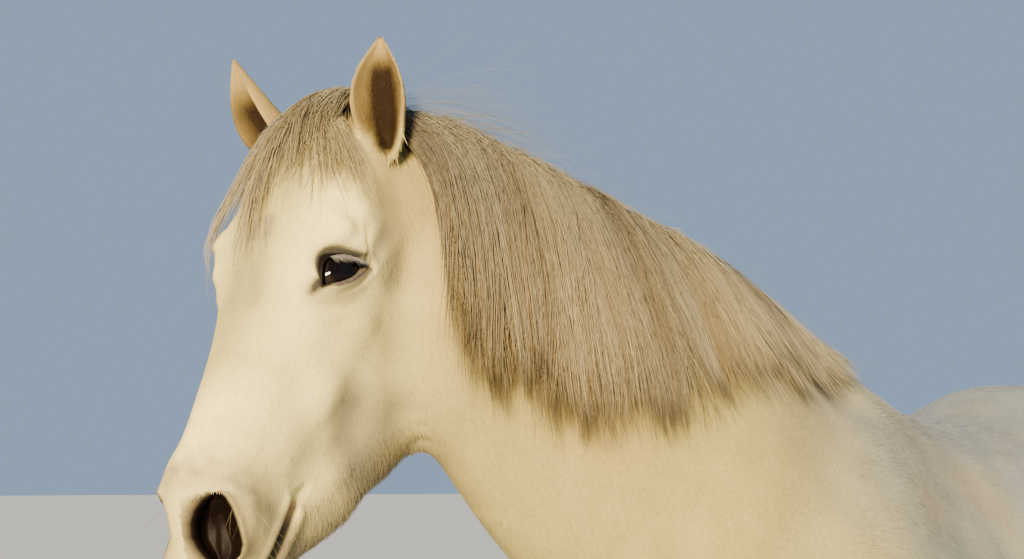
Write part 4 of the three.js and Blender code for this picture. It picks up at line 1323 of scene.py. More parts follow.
class HorseTints(bpy.types.PropertyGroup):
    """Colours of the coat, hair, skin and horn."""

    cream: tint("Cream", "Most of the head's coat", 0.90, 0.745, 0.285)
    # Neck: partly the neck's own darker coat, partly painted shade; also painted shade down the front of the
    # face.
    neck: tint("Neck", "Coat of the neck", 0.34, 0.285, 0.095)
    # Shoulder and chest: partly their greyer coat, partly painted shade.
    shoulder_coat_and_shade: tint("Shoulder", "Coat of shoulder and chest", 0.215, 0.215, 0.205)
    warm: tint("Warm", "Behind the cheeks and at the ears", 0.36, 0.27, 0.095)
    # Back and quarters: partly a cool grey coat, partly painted shade in blue sky light.
    cool_coat_and_sky_shade: tint("Cool", "Back and quarters", 0.25, 0.27, 0.275)
    # Shade: the greyer hair of jaw, muzzle and low legs, and also painted shade down the face's front, behind
    # the cheek, low on the cheek and jaw and in the fold over the eye.
    shade: tint("Shade", "Greyer hair of jaw, muzzle and low legs", 0.19, 0.155, 0.105)
    # Muzzle: thin hair over dark skin, and painted shade on the nose's side of each nostril.
    muzzle: tint("Muzzle", "Thin hair round nostrils and lips", 0.085, 0.058, 0.040)
    dark_hair: tint("Dark hair", "Hair of the upper lids", 0.034, 0.031, 0.026)
    bare_dark: tint("Dark skin", "Bare skin", 0.004, 0.0022, 0.0016)
    bare_light: tint("Light skin", "Worn bare skin", 0.011, 0.0058, 0.0044)
    iris: tint("Iris", "Iris", 0.0034, 0.0018, 0.0012)
    horn: tint("Horn", "Hoof horn", 0.10, 0.078, 0.062)
    lip: tint("Lip", "Pink skin at the corner of the mouth", 0.34, 0.15, 0.095)
    ear_tan: tint("Ears", "Hair on the ears", 0.30, 0.195, 0.068)
    # Ear hollow: brown hair inside the ears, and painted shade deep in the hollows.
    ear_hollow_and_shade: tint("Ear hollow", "Hair inside the ears", 0.010, 0.0040, 0.0015)
    silver: tint("Silver", "Grey hair of mane and forelock", 0.25, 0.225, 0.17)
    lid_rim: tint("Lid rim", "Rim of the lower lid", 0.095, 0.070, 0.076)
    rust: tint("Rust", "Stained hair of the mane and under it", 0.30, 0.185, 0.058)
    mane_light: tint("Light mane", "Straw hair", 0.31, 0.25, 0.12)
    mane_dark: tint("Dark mane", "Taupe hair", 0.058, 0.038, 0.018)


# ---------------------------------------------------------------- operators

class HORSE_OT_skin(bpy.types.Operator):
    """Builds one closed skin from the lips to the coronets"""

    bl_idname = "horse.skin"
    bl_label = "Skin"

    def execute(self, context):
        skin = new_object("skin", build_skin())
        skin.data.shade_smooth()
        finish_piece(skin, skin_finish(), "body_coat", *FLESH)
        return {"FINISHED"}


# Half sizes of the iris and the pupil on the ball, along the opening and across it.
IRIS = (0.62, 0.70)
PUPIL = (0.34, 0.17)
CORNEA_RISE = 0.0018


class HORSE_OT_eyes(bpy.types.Operator):
    """Builds both eyes"""

    bl_idname = "horse.eyes"
    bl_label = "Eyes"

    def execute(self, context):
        material = eye_finish()
        for side, sign in (("left", 1), ("right", -1)):
            made = bmesh.new()
            bmesh.ops.create_uvsphere(made, u_segments=64, v_segments=40, radius=1.0)
            mesh = as_mesh(made, f"eyeball_{side}")
            ball = places_of(mesh)
            iris, pupil = (np.hypot(ball[:, 0] / wide, ball[:, 1] / high) for wide, high in (IRIS, PUPIL))
            cornea = CORNEA_RISE * np.clip(1 - iris ** 2, 0, 1)
            own = ball * GLOBE_FORM + (0, 0, 1) * cornea[:, None]
            front = ball[:, 2] > 0
            point_values(mesh, "iris", (1 - smoothstep(0.90, 1.0, iris)) * front)
            point_values(mesh, "pupil", (1 - smoothstep(0.85, 1.0, pupil)) * front)
            heads = EYE_PLACE + RIGHT_EYE_SHIFT * (sign < 0) + own @ GAZE
            set_places(mesh, from_head(heads * (1, sign, 1)))
            if sign < 0:
                mesh.flip_normals()
            mesh.shade_smooth()
            finish_piece(new_object(f"eyeball_{side}", mesh), material, "eye", f"eye_{side}")
        return {"FINISHED"}


# The hooves' growth rings, and the height under which a hoof is flat on the floor.
GROWTH_STEP = 0.0085
GROWTH_RISE = 0.0007
HOOF_SOLE = 0.0015


class HORSE_OT_hooves(bpy.types.Operator):
    """Builds the four hooves"""

    bl_idname = "horse.hooves"
    bl_label = "Hooves"

    def execute(self, context):
        material = horn_finish()
        for node in HOOVES:
            made = merged_copy([node])
            bmesh.ops.dissolve_limit(made, angle_limit=0.02, verts=made.verts, edges=made.edges)
            bmesh.ops.triangulate(made, faces=made.faces)
            mesh = as_one_surface(made, 0.004)
            smooth_mesh(mesh, 3)
            places = places_of(mesh)
            off = (places - middle_of(node)) * (1, 1, 0)
            turns = places[:, 2] * 2 * np.pi / GROWTH_STEP + 1.5 * wander(places, 0.05, 21)
            rings = GROWTH_RISE * np.sin(turns) * (places[:, 2] >= 0.006)
            places = places + unit(off) * rings[:, None]
            places[:, 2] = np.where(places[:, 2] < HOOF_SOLE, 0.0, places[:, 2])
            set_places(mesh, places)
            mesh.shade_smooth()
            finish_piece(new_object(f"{node}_horn", mesh), material, "hoof", node)
        return {"FINISHED"}


# Share of the neck's way from the withers, then the crest's place: forward, left and up.
CREST = np.array((
    (0.00, 0.330, 0.000, 1.390),
    (0.15, 0.448, -0.008, 1.444),
    (0.31, 0.575, -0.062, 1.524),
    (0.47, 0.690, -0.112, 1.584),
    (0.63, 0.812, -0.165, 1.636),
    (0.77, 0.930, -0.215, 1.682),
    (0.90, 1.046, -0.264, 1.704),
    (1.00, 1.104, -0.288, 1.690),
))
# The same share, the depth of the mane there and how far back its hair leans.
MANE_FORM = np.array((
    (0.07, 0.009, 1.00),
    (0.15, 0.016, 0.85),
    (0.22, 0.021, 0.70),
    (0.31, 0.026, 0.55),
    (0.41, 0.029, 0.42),
    (0.57, 0.031, 0.28),
    (0.73, 0.029, 0.18),
    (0.85, 0.025, 0.13),
    (0.90, 0.021, 0.20),
    (0.94, 0.018, 0.42),
))
# Name, hairs, how far left of the crest they grow from and to, how light they are, and how high
# they rise over the crest.
MANE_LAYERS = [
    ("mane_under", 3200, 0.006, 0.028, -0.14, 0.000),
    ("mane_middle", 3700, -0.012, 0.014, 0.00, 0.008),
    ("mane_over", 4600, -0.032, 0.002, 0.12, 0.019),
]
# Locks, the longest hair, and how far to the right and the left of the crest hair grows.
MANE_LOCKS = 84
MANE_REACH = 0.46
MANE_RIGHT = 0.032
MANE_LEFT = 0.028
# How far long hair starts under the skin.
LONG_ROOT_DEPTH = 0.002
# Points of each hair as it is hung and as it is kept, and its width.
HANG_STEPS = 17
MANE_STEPS = 8
MANE_HAIR = 0.0011
# Shares of the neck's way with the most rust-coloured hair: the share, how much and how far.
STAINS = [(0.80, 1.0, 0.22), (0.55, 0.8, 0.10)]


def crest_at(share):
    return from_body(np.stack(read_table(CREST, share, 1, 2, 3), axis=1))


def along_crest(share):
    """The crest's places, its way towards the poll and the way to its left."""
    onward = unit(crest_at(share + 0.02) - crest_at(share - 0.02))
    return crest_at(share), onward, unit(np.cross((0, 0, 1), onward))


def resampled(lines, ends, steps):
    """The first part of each line, up to its own end as a share, in even steps."""
    count, old_steps, _ = lines.shape
    index = np.linspace(0, 1, steps)[None, :] * ends[:, None] * (old_steps - 1)
    low = np.clip(index.astype(int), 0, old_steps - 2)
    part = (index - low)[:, :, None]
    row = np.arange(count)[:, None]
    return lines[row, low] * (1 - part) + lines[row, low + 1] * part


def reach_within(lines, tree, limits):
    """The share of each line at which it gets further from a solid than its limit."""
    away = np.array([tree.find_nearest(Vector(place))[3] for place in lines.reshape(-1, 3)])
    out = away.reshape(lines.shape[:2]) > limits[:, None]
    out[:, :4] = False
    return share_before(out, 0.12)


def clear_of_ears(lines):
    """The share of each line at which it comes to an ear."""
    met = np.zeros(lines.shape[:2], bool)
    for side in EARS:
        root, height, axes = ear_axes(side)
        across, ahead, up = np.moveaxis((lines - root) @ axes.T, 2, 0)
        half = 0.55 * read_table(EAR_FORM, up / height, 1)[0]
        met |= (up > 0.006) & (up < height) & (np.abs(across) < half) & (ahead > -0.020) & (ahead < 0.060)
    return share_before(met, 0.04)


# A long hair's brightness at its root, before its middle and at its tip.
BRIGHTNESS = ((0.0, 0.45, 1.0), (0.82, 0.70, 1.40))


def hair_colours(tones, steps, rust, root_shade, silver):
    """Colours from root to tip: a tone from dark to light, greyer with silver, rustier towards
    the tips."""
    tints = bpy.context.scene.horse_tints
    dark, light, grey, stain, shade = (np.array(getattr(tints, name)[:]) for name in
                                       ("mane_dark", "mane_light", "silver", "rust", "shade"))
    tones = np.clip(tones, 0, 1)[:, None]
    base = dark + (light - dark) * tones
    base = base + (grey * (0.35 + 0.85 * tones) - base) * np.broadcast_to(silver, len(base))[:, None]
    along = np.linspace(0, 1, steps)
    colours = base[:, None, :] * np.interp(along, *BRIGHTNESS)[None, :, None]
    stained = rust[:, None, None] * smoothstep(0.30, 0.75, along)[None, :, None]
    colours = colours + (stain * 0.75 - colours) * stained
    near_root = root_shade * (1 - smoothstep(0.0, 0.3, along))[None, :, None]
    return np.clip(colours + (shade - colours) * near_root, DARKEST, 1)


# ---------------------------------------------------------------- unwraps of the skin

def head_unwrap(places):
    return round_axis(places, from_head((0, 0, -0.15)), HEAD[0], HEAD[1])


def neck_unwrap(places):
    foot, top = from_body((0.45, 0.0, 1.15)), from_body((1.09, -0.28, 1.58))
    return round_axis(places, foot, top - foot, (0, 1, 0))


def trunk_unwrap(places):
    return round_axis(places, from_body((0, 0, 1.15)), (1, 0, 0), (0, 0, -1))


def quarter(own, column, row):
    """An unwrap moved into one quarter of the square."""
    return own * 0.49 + np.array((column, row)) * 0.5


def leg_unwrap(places):
    forward, left, _ = to_body(places).T > 0
    whole = np.zeros((len(places), 2))
    for column in (0, 1):
        for row in (0, 1):
            mine = (forward == column) & (left == row)
            if mine.any():
                centre = places[mine].mean(axis=0)
                whole[mine] = quarter(round_axis(places[mine], centre, (0, 0, 1), (0, 1, 0)), column, row)
    return whole


def ear_unwrap(places):
    whole = np.zeros((len(places), 2))
    left = to_head(places)[:, 1] > 0
    for column, (side, mine) in enumerate((("left", left), ("right", ~left))):
        root, _, axes = ear_axes(side)
        whole[mine] = quarter(round_axis(places[mine], root, axes[2], axes[1]), column, 0)
    return whole * (1, 2)


# ---------------------------------------------------------------- coat and hair

# The long hair of jaw and chin, on the head.
BEARD = ((0.06, 0.06, -0.34), (0.20, 0.055, -0.335), (0.30, 0.05, -0.290), (0.40, 0.04, -0.235),
         (0.49, 0.03, -0.200))
# Name, slot and unwrap, then tufts, their length, width, rise, spread and points.
TUFT_PIECES = [
    ("face_tufts", "face_coat", head_unwrap, 43000, 0.0090, 0.00095, 0.11, 0.16, 2),
    ("jaw_tufts", "face_coat", head_unwrap, 8000, 0.0165, 0.00090, 0.24, 0.34, 3),
    ("ear_tufts", "face_coat", ear_unwrap, 8000, 0.0075, 0.00085, 0.12, 0.14, 2),
    ("neck_tufts", "body_coat", neck_unwrap, 34000, 0.0190, 0.00150, 0.065, 0.18, 2),
    ("trunk_tufts_left", "body_coat", trunk_unwrap, 27000, 0.0250, 0.00230, 0.05, 0.15, 2),
    ("trunk_tufts_right", "body_coat", trunk_unwrap, 27000, 0.0250, 0.00230, 0.05, 0.15, 2),
    ("leg_tufts", "body_coat", leg_unwrap, 21000, 0.0150, 0.00200, 0.10, 0.12, 2),
]


class HORSE_OT_coat(bpy.types.Operator):
    """Covers the skin with short tufts that follow the lie of the coat"""

    bl_idname = "horse.coat"
    bl_label = "Short coat"

    def execute(self, context):
        surface = Surface()
        short = hair_finish("short_coat", 0.75, 0.08)
        seed = context.scene.horse_sizes.seed
        own, body = surface.head_places, surface.body_places
        off_hoof = smoothstep(0.088, 0.100, body[:, 2])
        head, neck, trunk, legs = (surface.shares[:, k] * off_hoof for k in range(4))
        off_ear = 1 - surface.ear
        beard = swell(own, BEARD, 0.075) * surface.shares[:, 0]
        on_ear = surface.ear * (1 - surface.hollow) * (own[:, 0] < 0.05)
        for side in EARS:
            root, height, axes = ear_axes(side)
            on_ear *= smoothstep(0.004, 0.012, near_path(surface.places, (root + axes[2] * height,)))
        gaze, inside = lid_measures(surface.places)
        off_eye = 1 - smoothstep(-0.008, -0.004, inside) * (gaze[:, 2] > 0)
        nostril, hollow = nostril_measures(surface.places)
        off_nostril = 1 - smoothstep(-0.010, -0.004, hollow + 0.006 * inner_side(nostril))
        face = head * off_ear * (off_eye * off_nostril)
        left = body[:, 1] > 0
        low = smoothstep(0.45, 0.25, body[:, 2])
        weights = {"face_tufts": face, "jaw_tufts": beard * off_ear, "ear_tufts": on_ear,
                   "neck_tufts": neck * off_ear, "trunk_tufts_left": trunk * left,
                   "trunk_tufts_right": trunk * ~left, "leg_tufts": legs * (1 + 0.6 * low)}
        for step, (name, slot, unwrap, *form) in enumerate(TUFT_PIECES):
            piece = tufted(name, surface, weights[name], *form, seed + 10 * step, unwrap)
            finish_piece(piece, short, slot)
        return {"FINISHED"}


class HORSE_OT_mane(bpy.types.Operator):
    """Hangs the mane from the crest down the left side of the neck"""

    bl_idname = "horse.mane"
    bl_label = "Mane"

    def execute(self, context):
        surface = Surface()
        seed = context.scene.horse_sizes.seed
        material = hair_finish("long_hair", 0.48)
        tree = solids_tree(["mane"])
        for layer, (name, count, inner, outer, light, rise) in enumerate(MANE_LAYERS):
            draws = np.random.default_rng(seed + 100 + layer)
            span = draws.random(count) ** 0.75
            share = MANE_FORM[0, 0] + np.ptp(MANE_FORM[:, 0]) * span
            across = draws.uniform(inner, outer, count)
            groups = (span * MANE_LOCKS + 0.6 * draws.normal(size=count)).astype(int)
            groups = np.clip(groups, 0, MANE_LOCKS - 1)
            sway = (0.036 * draws.normal(size=MANE_LOCKS))[groups]
            lift, drop, drawn, tone, wave, turns, phase, grey = draws.random((8, MANE_LOCKS))[:, groups]

            depth, lean = read_table(MANE_FORM, share, 1, 2)
            crest, onward, left = along_crest(share)
            ground, outward = surface.nearest(crest + left * across[:, None])
            roots = ground - outward * LONG_ROOT_DEPTH
            over = (MANE_LEFT - across) / (MANE_LEFT + MANE_RIGHT)
            heights = 0.004 + depth * (0.15 + 0.85 * over) * draws.uniform(0.75, 1.1, count) + 0.008 * lift
            lean = lean * draws.uniform(0.9, 1.1, count)
            ways = unit(left + 0.35 * outward - onward * (0.15 + lean)[:, None])
            back = unit(onward * (-1, -1, 0))
            pull = np.array((0, 0, -0.42)) + back * (0.025 + 0.20 * lean ** 2 + sway)[:, None]
            pull = pull + 0.014 * draws.normal(size=(count, 3))
            slack = 0.006 + 0.010 * smoothstep(0.78, 0.92, share)
            mound = rise * smoothstep(0.30, 0.50, share) * draws.uniform(0.6, 1.15, count)
            reach = np.full(count, MANE_REACH)
            lines = hang(surface, roots, ways, reach, heights, pull, HANG_STEPS, slack, mound)

            ragged = 0.030 + 0.016 * wander(roots, 0.060, seed + 120 + layer)
            ragged += 0.012 * draws.normal(size=count)
            ragged += 0.055 * drop ** 2 * smoothstep(0.12, 0.30, share)
            ragged += 0.030 * drop * smoothstep(0.40, 0.25, share) * draws.random(count)
            ends = reach_within(lines, tree, np.clip(ragged, 0.006, 0.09))
            ends *= 1.04 - 0.50 * draws.random(count) ** 2
            ends *= 0.40 + 0.60 * smoothstep(0.08, 0.30, share)
            ends = np.minimum(np.clip(ends, 0.08, 1), clear_of_ears(lines))
            lines = gathered(resampled(lines, ends, MANE_STEPS), groups, 0.25 + 0.60 * drawn)
            ups = outward_ups(surface, lines)
            phases = phase + 0.06 * draws.normal(size=count)
            lines = waved(lines, ups, 0.0020 + 0.0090 * wave, 0.6 + 0.9 * turns, phases)

            tones = 0.50 + light + 0.14 * wander(roots, 0.05, seed + 130) + 0.16 * draws.normal(size=count)
            tones += 0.70 * (tone - 0.5) + 0.55 * smoothstep(0.40, 0.10, share)
            stain = sum(much * swell(share[:, None], ((place,),), far) for place, much, far in STAINS)
            rust = np.clip(0.02 + stain - 1.6 * light, 0.0, 0.95)
            rust *= draws.uniform(0.3, 1.1, count) * (0.6 + 0.4 * wander(roots, 0.05, seed + 140))
            silver = np.clip(0.80 * grey + 0.18 + light, 0, 0.8) * draws.uniform(0.4, 1.0, count)
            colours = hair_colours(tones, MANE_STEPS, rust, 0.25, silver * (1 - 0.3 * stain))
            patches = inset(np.stack((span, (across - inner) / (outer - inner)), axis=1))
            widths = MANE_HAIR * draws.uniform(0.7, 1.4, count)
            add_hairs(name, lines, ups, widths, colours, patches, material, "mane_hair", "mane")
        return {"FINISHED"}


LOOSE_HAIRS = 1450
LONG_LOOSE_HAIRS = 170
LOOSE_STEPS = 7
LOOSE_HAIR = 0.0005


class HORSE_OT_loose_hair(bpy.types.Operator):
    """Adds the loose hairs that stand off the crest"""

    bl_idname = "horse.loose_hair"
    bl_label = "Loose hairs of the mane"

    def execute(self, context):
        surface = Surface()
        draws = np.random.default_rng(context.scene.horse_sizes.seed + 200)
        count = LOOSE_HAIRS
        long_ones = np.arange(count) < LONG_LOOSE_HAIRS
        share = np.where(long_ones, draws.uniform(0.80, 0.925, count), draws.uniform(0.25, 0.90, count))
        crest, onward, left = along_crest(share)
        ground, outward = surface.nearest(crest + left * draws.uniform(-0.02, 0.020, count)[:, None])
        lengths = np.where(long_ones, draws.uniform(0.10, 0.22, count), draws.uniform(0.035, 0.095, count))
        ways = 0.70 * outward - onward * draws.uniform(0.5, 1.4, count)[:, None]
        ways += np.where(long_ones, 0.14, 0.25)[:, None] * draws.normal(size=(count, 3))
        ways = unit(ways + left * draws.uniform(-0.2, 0.6, count)[:, None])
        pull = np.array((0.05, 0, -0.17)) + 0.04 * draws.normal(size=(count, 3))
        lines = np.empty((count, LOOSE_STEPS, 3))
        lines[:, 0] = ground + outward * (0.010 * smoothstep(0.30, 0.50, share))[:, None]
        for step in range(1, LOOSE_STEPS):
            ways = unit(ways + pull)
            lines[:, step] = lines[:, step - 1] + ways * (lengths / (LOOSE_STEPS - 1))[:, None]
        tones = 0.9 + 0.2 * draws.normal(size=count)
        colours = hair_colours(tones, LOOSE_STEPS, np.zeros(count), 0.0, 0.4)
        ups = np.repeat(outward[:, None, :], LOOSE_STEPS, axis=1)
        patches = np.stack((inset(share), draws.uniform(0.01, 0.99, count)), axis=1)
        widths = LOOSE_HAIR * draws.uniform(0.7, 1.3, count)
        add_hairs("mane_loose", lines, ups, widths, colours, patches, hair_finish("loose_hair"), "mane_hair")
        return {"FINISHED"}


# Groups of the forelock's locks: the turns they fan out by, from right to left, and how many.
FORELOCK_FANS = [(-1.15, -0.30, 14), (-0.30, 0.12, 7), (0.12, 0.55, 8), (0.85, 1.35, 9)]
FORELOCK_HAIRS = 2400
FALL_STEPS = 15
FORELOCK_STEPS = 7
FORELOCK_HAIR = 0.00075
# By the way a lock fans out: how full it is, and how much longer it is.
LOCK_FULLNESS = ((-0.4, -0.2, 0.2, 0.5, 0.8), (1.3, 0.9, 0.9, 0.8, 0.6))
LOCK_EXTRA = ((-0.6, -0.25, 0.0, 0.6), (0.08, 0.06, 0.0, 0.08))


class HORSE_OT_forelock(bpy.types.Operator):
    """Lets the forelock fall from the poll over the forehead"""

    bl_idname = "horse.forelock"
    bl_label = "Forelock"

    def execute(self, context):
        surface = Surface()
        draws = np.random.default_rng(context.scene.horse_sizes.seed + 300)
        count = FORELOCK_HAIRS
        fans = np.concatenate([draws.uniform(*fan) for fan in FORELOCK_FANS])
        locks = len(fans)
        low_fans = fans > 0.7
        fullness = draws.uniform(0.4, 1.0, locks) * np.interp(fans, *LOCK_FULLNESS)
        behind = (draws.random(locks) < 0.45) & (fans < 0.6)
        along = np.where(behind, draws.uniform(-0.060, -0.040, locks), draws.uniform(-0.030, 0.014, locks))
        along = np.where(low_fans, draws.uniform(0.012, 0.032, locks), along)
        side = fans * np.where(fans > 0, 0.036, 0.022) + 0.009 * draws.normal(size=locks) + 0.020 * behind
        side = np.clip(side, -0.034, np.where(low_fans, 0.022, 0.040))
        reach = draws.uniform(0.06, 0.25, locks) + np.interp(fans, *LOCK_EXTRA) + 0.05 * behind
        reach = np.where(fans > 0.2, draws.uniform(0.08, 0.160, locks), reach)
        mounds = np.where(behind, draws.uniform(0.016, 0.036, locks), draws.uniform(0.004, 0.014, locks))

        groups = draws.choice(locks, count, p=fullness / fullness.sum())
        drawn, lift, tone, wave, turns, phase, grey = draws.random((7, locks))[:, groups]
        along = along[groups] + 0.006 * draws.normal(size=count)
        side = side[groups] + 0.005 * draws.normal(size=count)
        back = np.where(behind, -0.045, 0.010)[groups]
        ground, outward = surface.nearest(from_head(np.stack((along, side, back), axis=1)))
        fan = fans[groups] + 0.09 * draws.normal(size=count)
        forward = np.stack((np.cos(fan), np.sin(fan), np.full(count, 0.30)), axis=1) @ HEAD
        heights = 0.003 + 0.012 * lift * draws.uniform(0.6, 1.2, count)
        lengths = reach[groups] * draws.uniform(0.42, 1.15, count)
        pull = np.array((0, 0, -0.09)) + (0.030 * draws.normal(size=(locks, 3)))[groups]
        pull = pull + 0.016 * draws.normal(size=(count, 3))
        roots = ground - outward * LONG_ROOT_DEPTH
        lines = hang(surface, roots, unit(forward), lengths, heights, pull, FALL_STEPS, 0.008, mounds[groups])
        lines = resampled(lines, clear_of_ears(lines), FORELOCK_STEPS)
        lines = gathered(lines, groups, (0.30 + 0.60 * drawn) * draws.uniform(0.3, 1.0, count))
        ups = outward_ups(surface, lines)
        phases = phase + 0.06 * draws.normal(size=count)
        lines = waved(lines, ups, 0.0015 + 0.008 * wave, 0.5 + 0.9 * turns, phases)
        tones = 0.62 + 0.16 * draws.normal(size=count) + 0.5 * (tone - 0.5)
        silver = 0.75 * grey * smoothstep(0.6, -0.6, fan)
        colours = 1.5 * hair_colours(tones, FORELOCK_STEPS, np.full(count, 0.06), 0.10, silver)
        patches = np.clip(np.stack(((side + 0.05) / 0.11, (along + 0.08) / 0.11), axis=1), 0.01, 0.99)
        widths = FORELOCK_HAIR * draws.uniform(0.7, 1.4, count)
        add_hairs("forelock_hair", lines, ups, widths, colours, patches, hair_finish("forelock_strands"),
                  "mane_hair", "forelock")
        return {"FINISHED"}


# Share of the way down the tail, then its middle's place and its half width and half depth.
TAIL = np.array((
    (0.00, -0.700, 0.000, 1.330, 0.030, 0.026),
    (0.07, -0.768, 0.002, 1.318, 0.038, 0.032),
    (0.14, -0.818, 0.005, 1.272, 0.047, 0.039),
    (0.24, -0.850, 0.008, 1.170, 0.065, 0.043),
    (0.42, -0.866, 0.010, 0.960, 0.086, 0.047),
    (0.62, -0.862, 0.008, 0.720, 0.094, 0.045),
    (0.82, -0.856, 0.002, 0.480, 0.082, 0.039),
    (0.95, -0.850, -0.006, 0.320, 0.046, 0.027),
    (1.00, -0.848, -0.010, 0.250, 0.012, 0.010),
))
# By the way down the tail: how far its section leans back from upright.
TAIL_SLOPE = ((0.0, 0.07, 0.14, 0.24, 0.42), (1.45, 0.9, 0.45, 0.12, 0.0))
TAIL_HAIRS = 2700
TAIL_STEPS = 7
TAIL_LOCKS = 40
TAIL_HAIR = 0.0026


class HORSE_OT_tail(bpy.types.Operator):
    """Lets the tail hang from the dock"""

    bl_idname = "horse.tail"
    bl_label = "Tail"

    def execute(self, context):
        seed = context.scene.horse_sizes.seed
        draws = np.random.default_rng(seed + 400)
        count, steps = TAIL_HAIRS, TAIL_STEPS
        start = draws.uniform(0.0, 0.30, count) ** 1.1
        end = np.clip(start + draws.uniform(0.35, 1.0, count), 0.3, 1.0)
        turn = draws.uniform(0, 2 * np.pi, count)
        out = np.sqrt(draws.uniform(0.30, 1.0, count))
        way = start[:, None] + (end - start)[:, None] * np.linspace(0, 1, steps)[None, :]
        forward, left, up, half, deep = read_table(TAIL, way, 1, 2, 3, 4, 5)
        centre = from_body(np.stack((forward, left, up), axis=2))
        swing = turn[:, None] + 0.35 * np.sin(way * 9 + 6 * turn[:, None]) * 0.3
        spread = out[:, None] * np.linspace(0.9, 1.0, steps)[None, :]
        left = left + half * spread * np.cos(swing)
        slope = np.interp(way, *TAIL_SLOPE)
        forward = forward + deep * spread * np.sin(swing) * np.cos(slope)
        up = up - deep * spread * np.sin(swing) * np.sin(slope)
        lines = from_body(np.stack((forward, left, up), axis=2))
        groups = ((turn / (2 * np.pi)) * TAIL_LOCKS).astype(int) % TAIL_LOCKS
        lines = gathered(lines, groups, draws.uniform(0.1, 0.45, TAIL_LOCKS)[groups])
        tones = 0.72 + 0.22 * draws.normal(size=count) + draws.uniform(-0.2, 0.2, TAIL_LOCKS)[groups]
        rust = draws.uniform(0.0, 0.4, count)
        colours = 1.35 * hair_colours(tones, steps, rust, 0.10, draws.uniform(0.0, 0.7, count))
        patches = np.stack((turn / (2 * np.pi), start / 0.31), axis=1)
        material = hair_finish("tail_hair_strands")
        widths = TAIL_HAIR * draws.uniform(0.7, 1.3, count)
        add_hairs("tail_strands", lines, unit(lines - centre + 1e-6), widths, colours, patches, material,
                  "tail_hair", "tail")

        core = as_one_surface(merged_copy(["tail"]), 0.010)
        smooth_mesh(core, 6)
        push_out(core, np.full(len(core.vertices), -0.012))
        core.shade_smooth()
        shade = 0.75 + 0.25 * wander(places_of(core) * (1, 1, 0.05), 0.010, seed + 410)
        tints = context.scene.horse_tints
        brown = 0.6 * np.array(tints.mane_dark[:]) + 0.4 * np.array(tints.mane_light[:])
        point_colours(core, "coat", brown[None, :] * shade[:, None])
        finish_piece(new_object("tail_core", core), material, "tail_hair", "tail")
        return {"FINISHED"}


# For each lid: lashes, the shares of its edge they grow between, their length, and the way they
# start and the way they bend, on the eye's axes.
LASHES = {
    "upper": (270, (0.08, 0.66), 0.0120, (-0.20, 0.30, 0.75), (-0.05, 0.70, -0.50)),
    "lower": (14, (0.15, 0.75), 0.004, (-0.2, 0.5, 0.8), (0.0, 0.4, 0.0)),
}
LASH_STEPS = 6
LASH_COLOUR = (0.26, 0.235, 0.215)
LASH_HAIR = 0.00034


def lash_lines(draws, lid, sign):
    """Lashes along one lid's edge, out and down from it."""
    count, span, longest, first, bend = LASHES[lid]
    share = draws.uniform(*span, count)
    along = OUTER_CORNER[0] + share * (INNER_CORNER[0] - OUTER_CORNER[0])
    upper, lower = lid_edges(along)
    down = upper - 0.0012 * draws.random(count) if lid == "upper" else lower + 0.001
    start = np.stack((along, down, lid_ball(along, down) - 0.0008), axis=1)
    length = longest * draws.uniform(0.6, 1.2, count) * (0.5 + 0.5 * smoothstep(0.05, 0.30, share))
    first = np.array(first) + 0.15 * draws.normal(size=(count, 3))
    path = np.linspace(0, 1, LASH_STEPS)[None, :, None]
    curve = first[:, None, :] * path + np.array(bend) * path ** 2
    lines = start[:, None, :] + length[:, None, None] * curve
    heads = np.tile((0.0, sign, 0.0), (count * LASH_STEPS, 1))
    return from_gaze(lines.reshape(-1, 3), heads).reshape(count, LASH_STEPS, 3)


# Pieces of longer hair: name and slot, then hairs, their length, width, rise and brightness.
LONGER_PIECES = [
    ("whiskers", "face_coat", head_unwrap, 150, 0.030, 0.0004, 1.6, 0.6),
    ("ear_hair", "face_coat", ear_unwrap, 1500, 0.009, 0.00030, 0.22, 2.2),
    ("fetlock_hair", "body_coat", leg_unwrap, 1400, 0.042, 0.0013, 0.45, 0.95),
]
LONGER_STEPS = 5
# Where the whiskers grow, on the head.
BRISTLY = ((0.50, 0.06, -0.10), (0.55, 0.05, -0.12), (0.50, 0.03, -0.19))


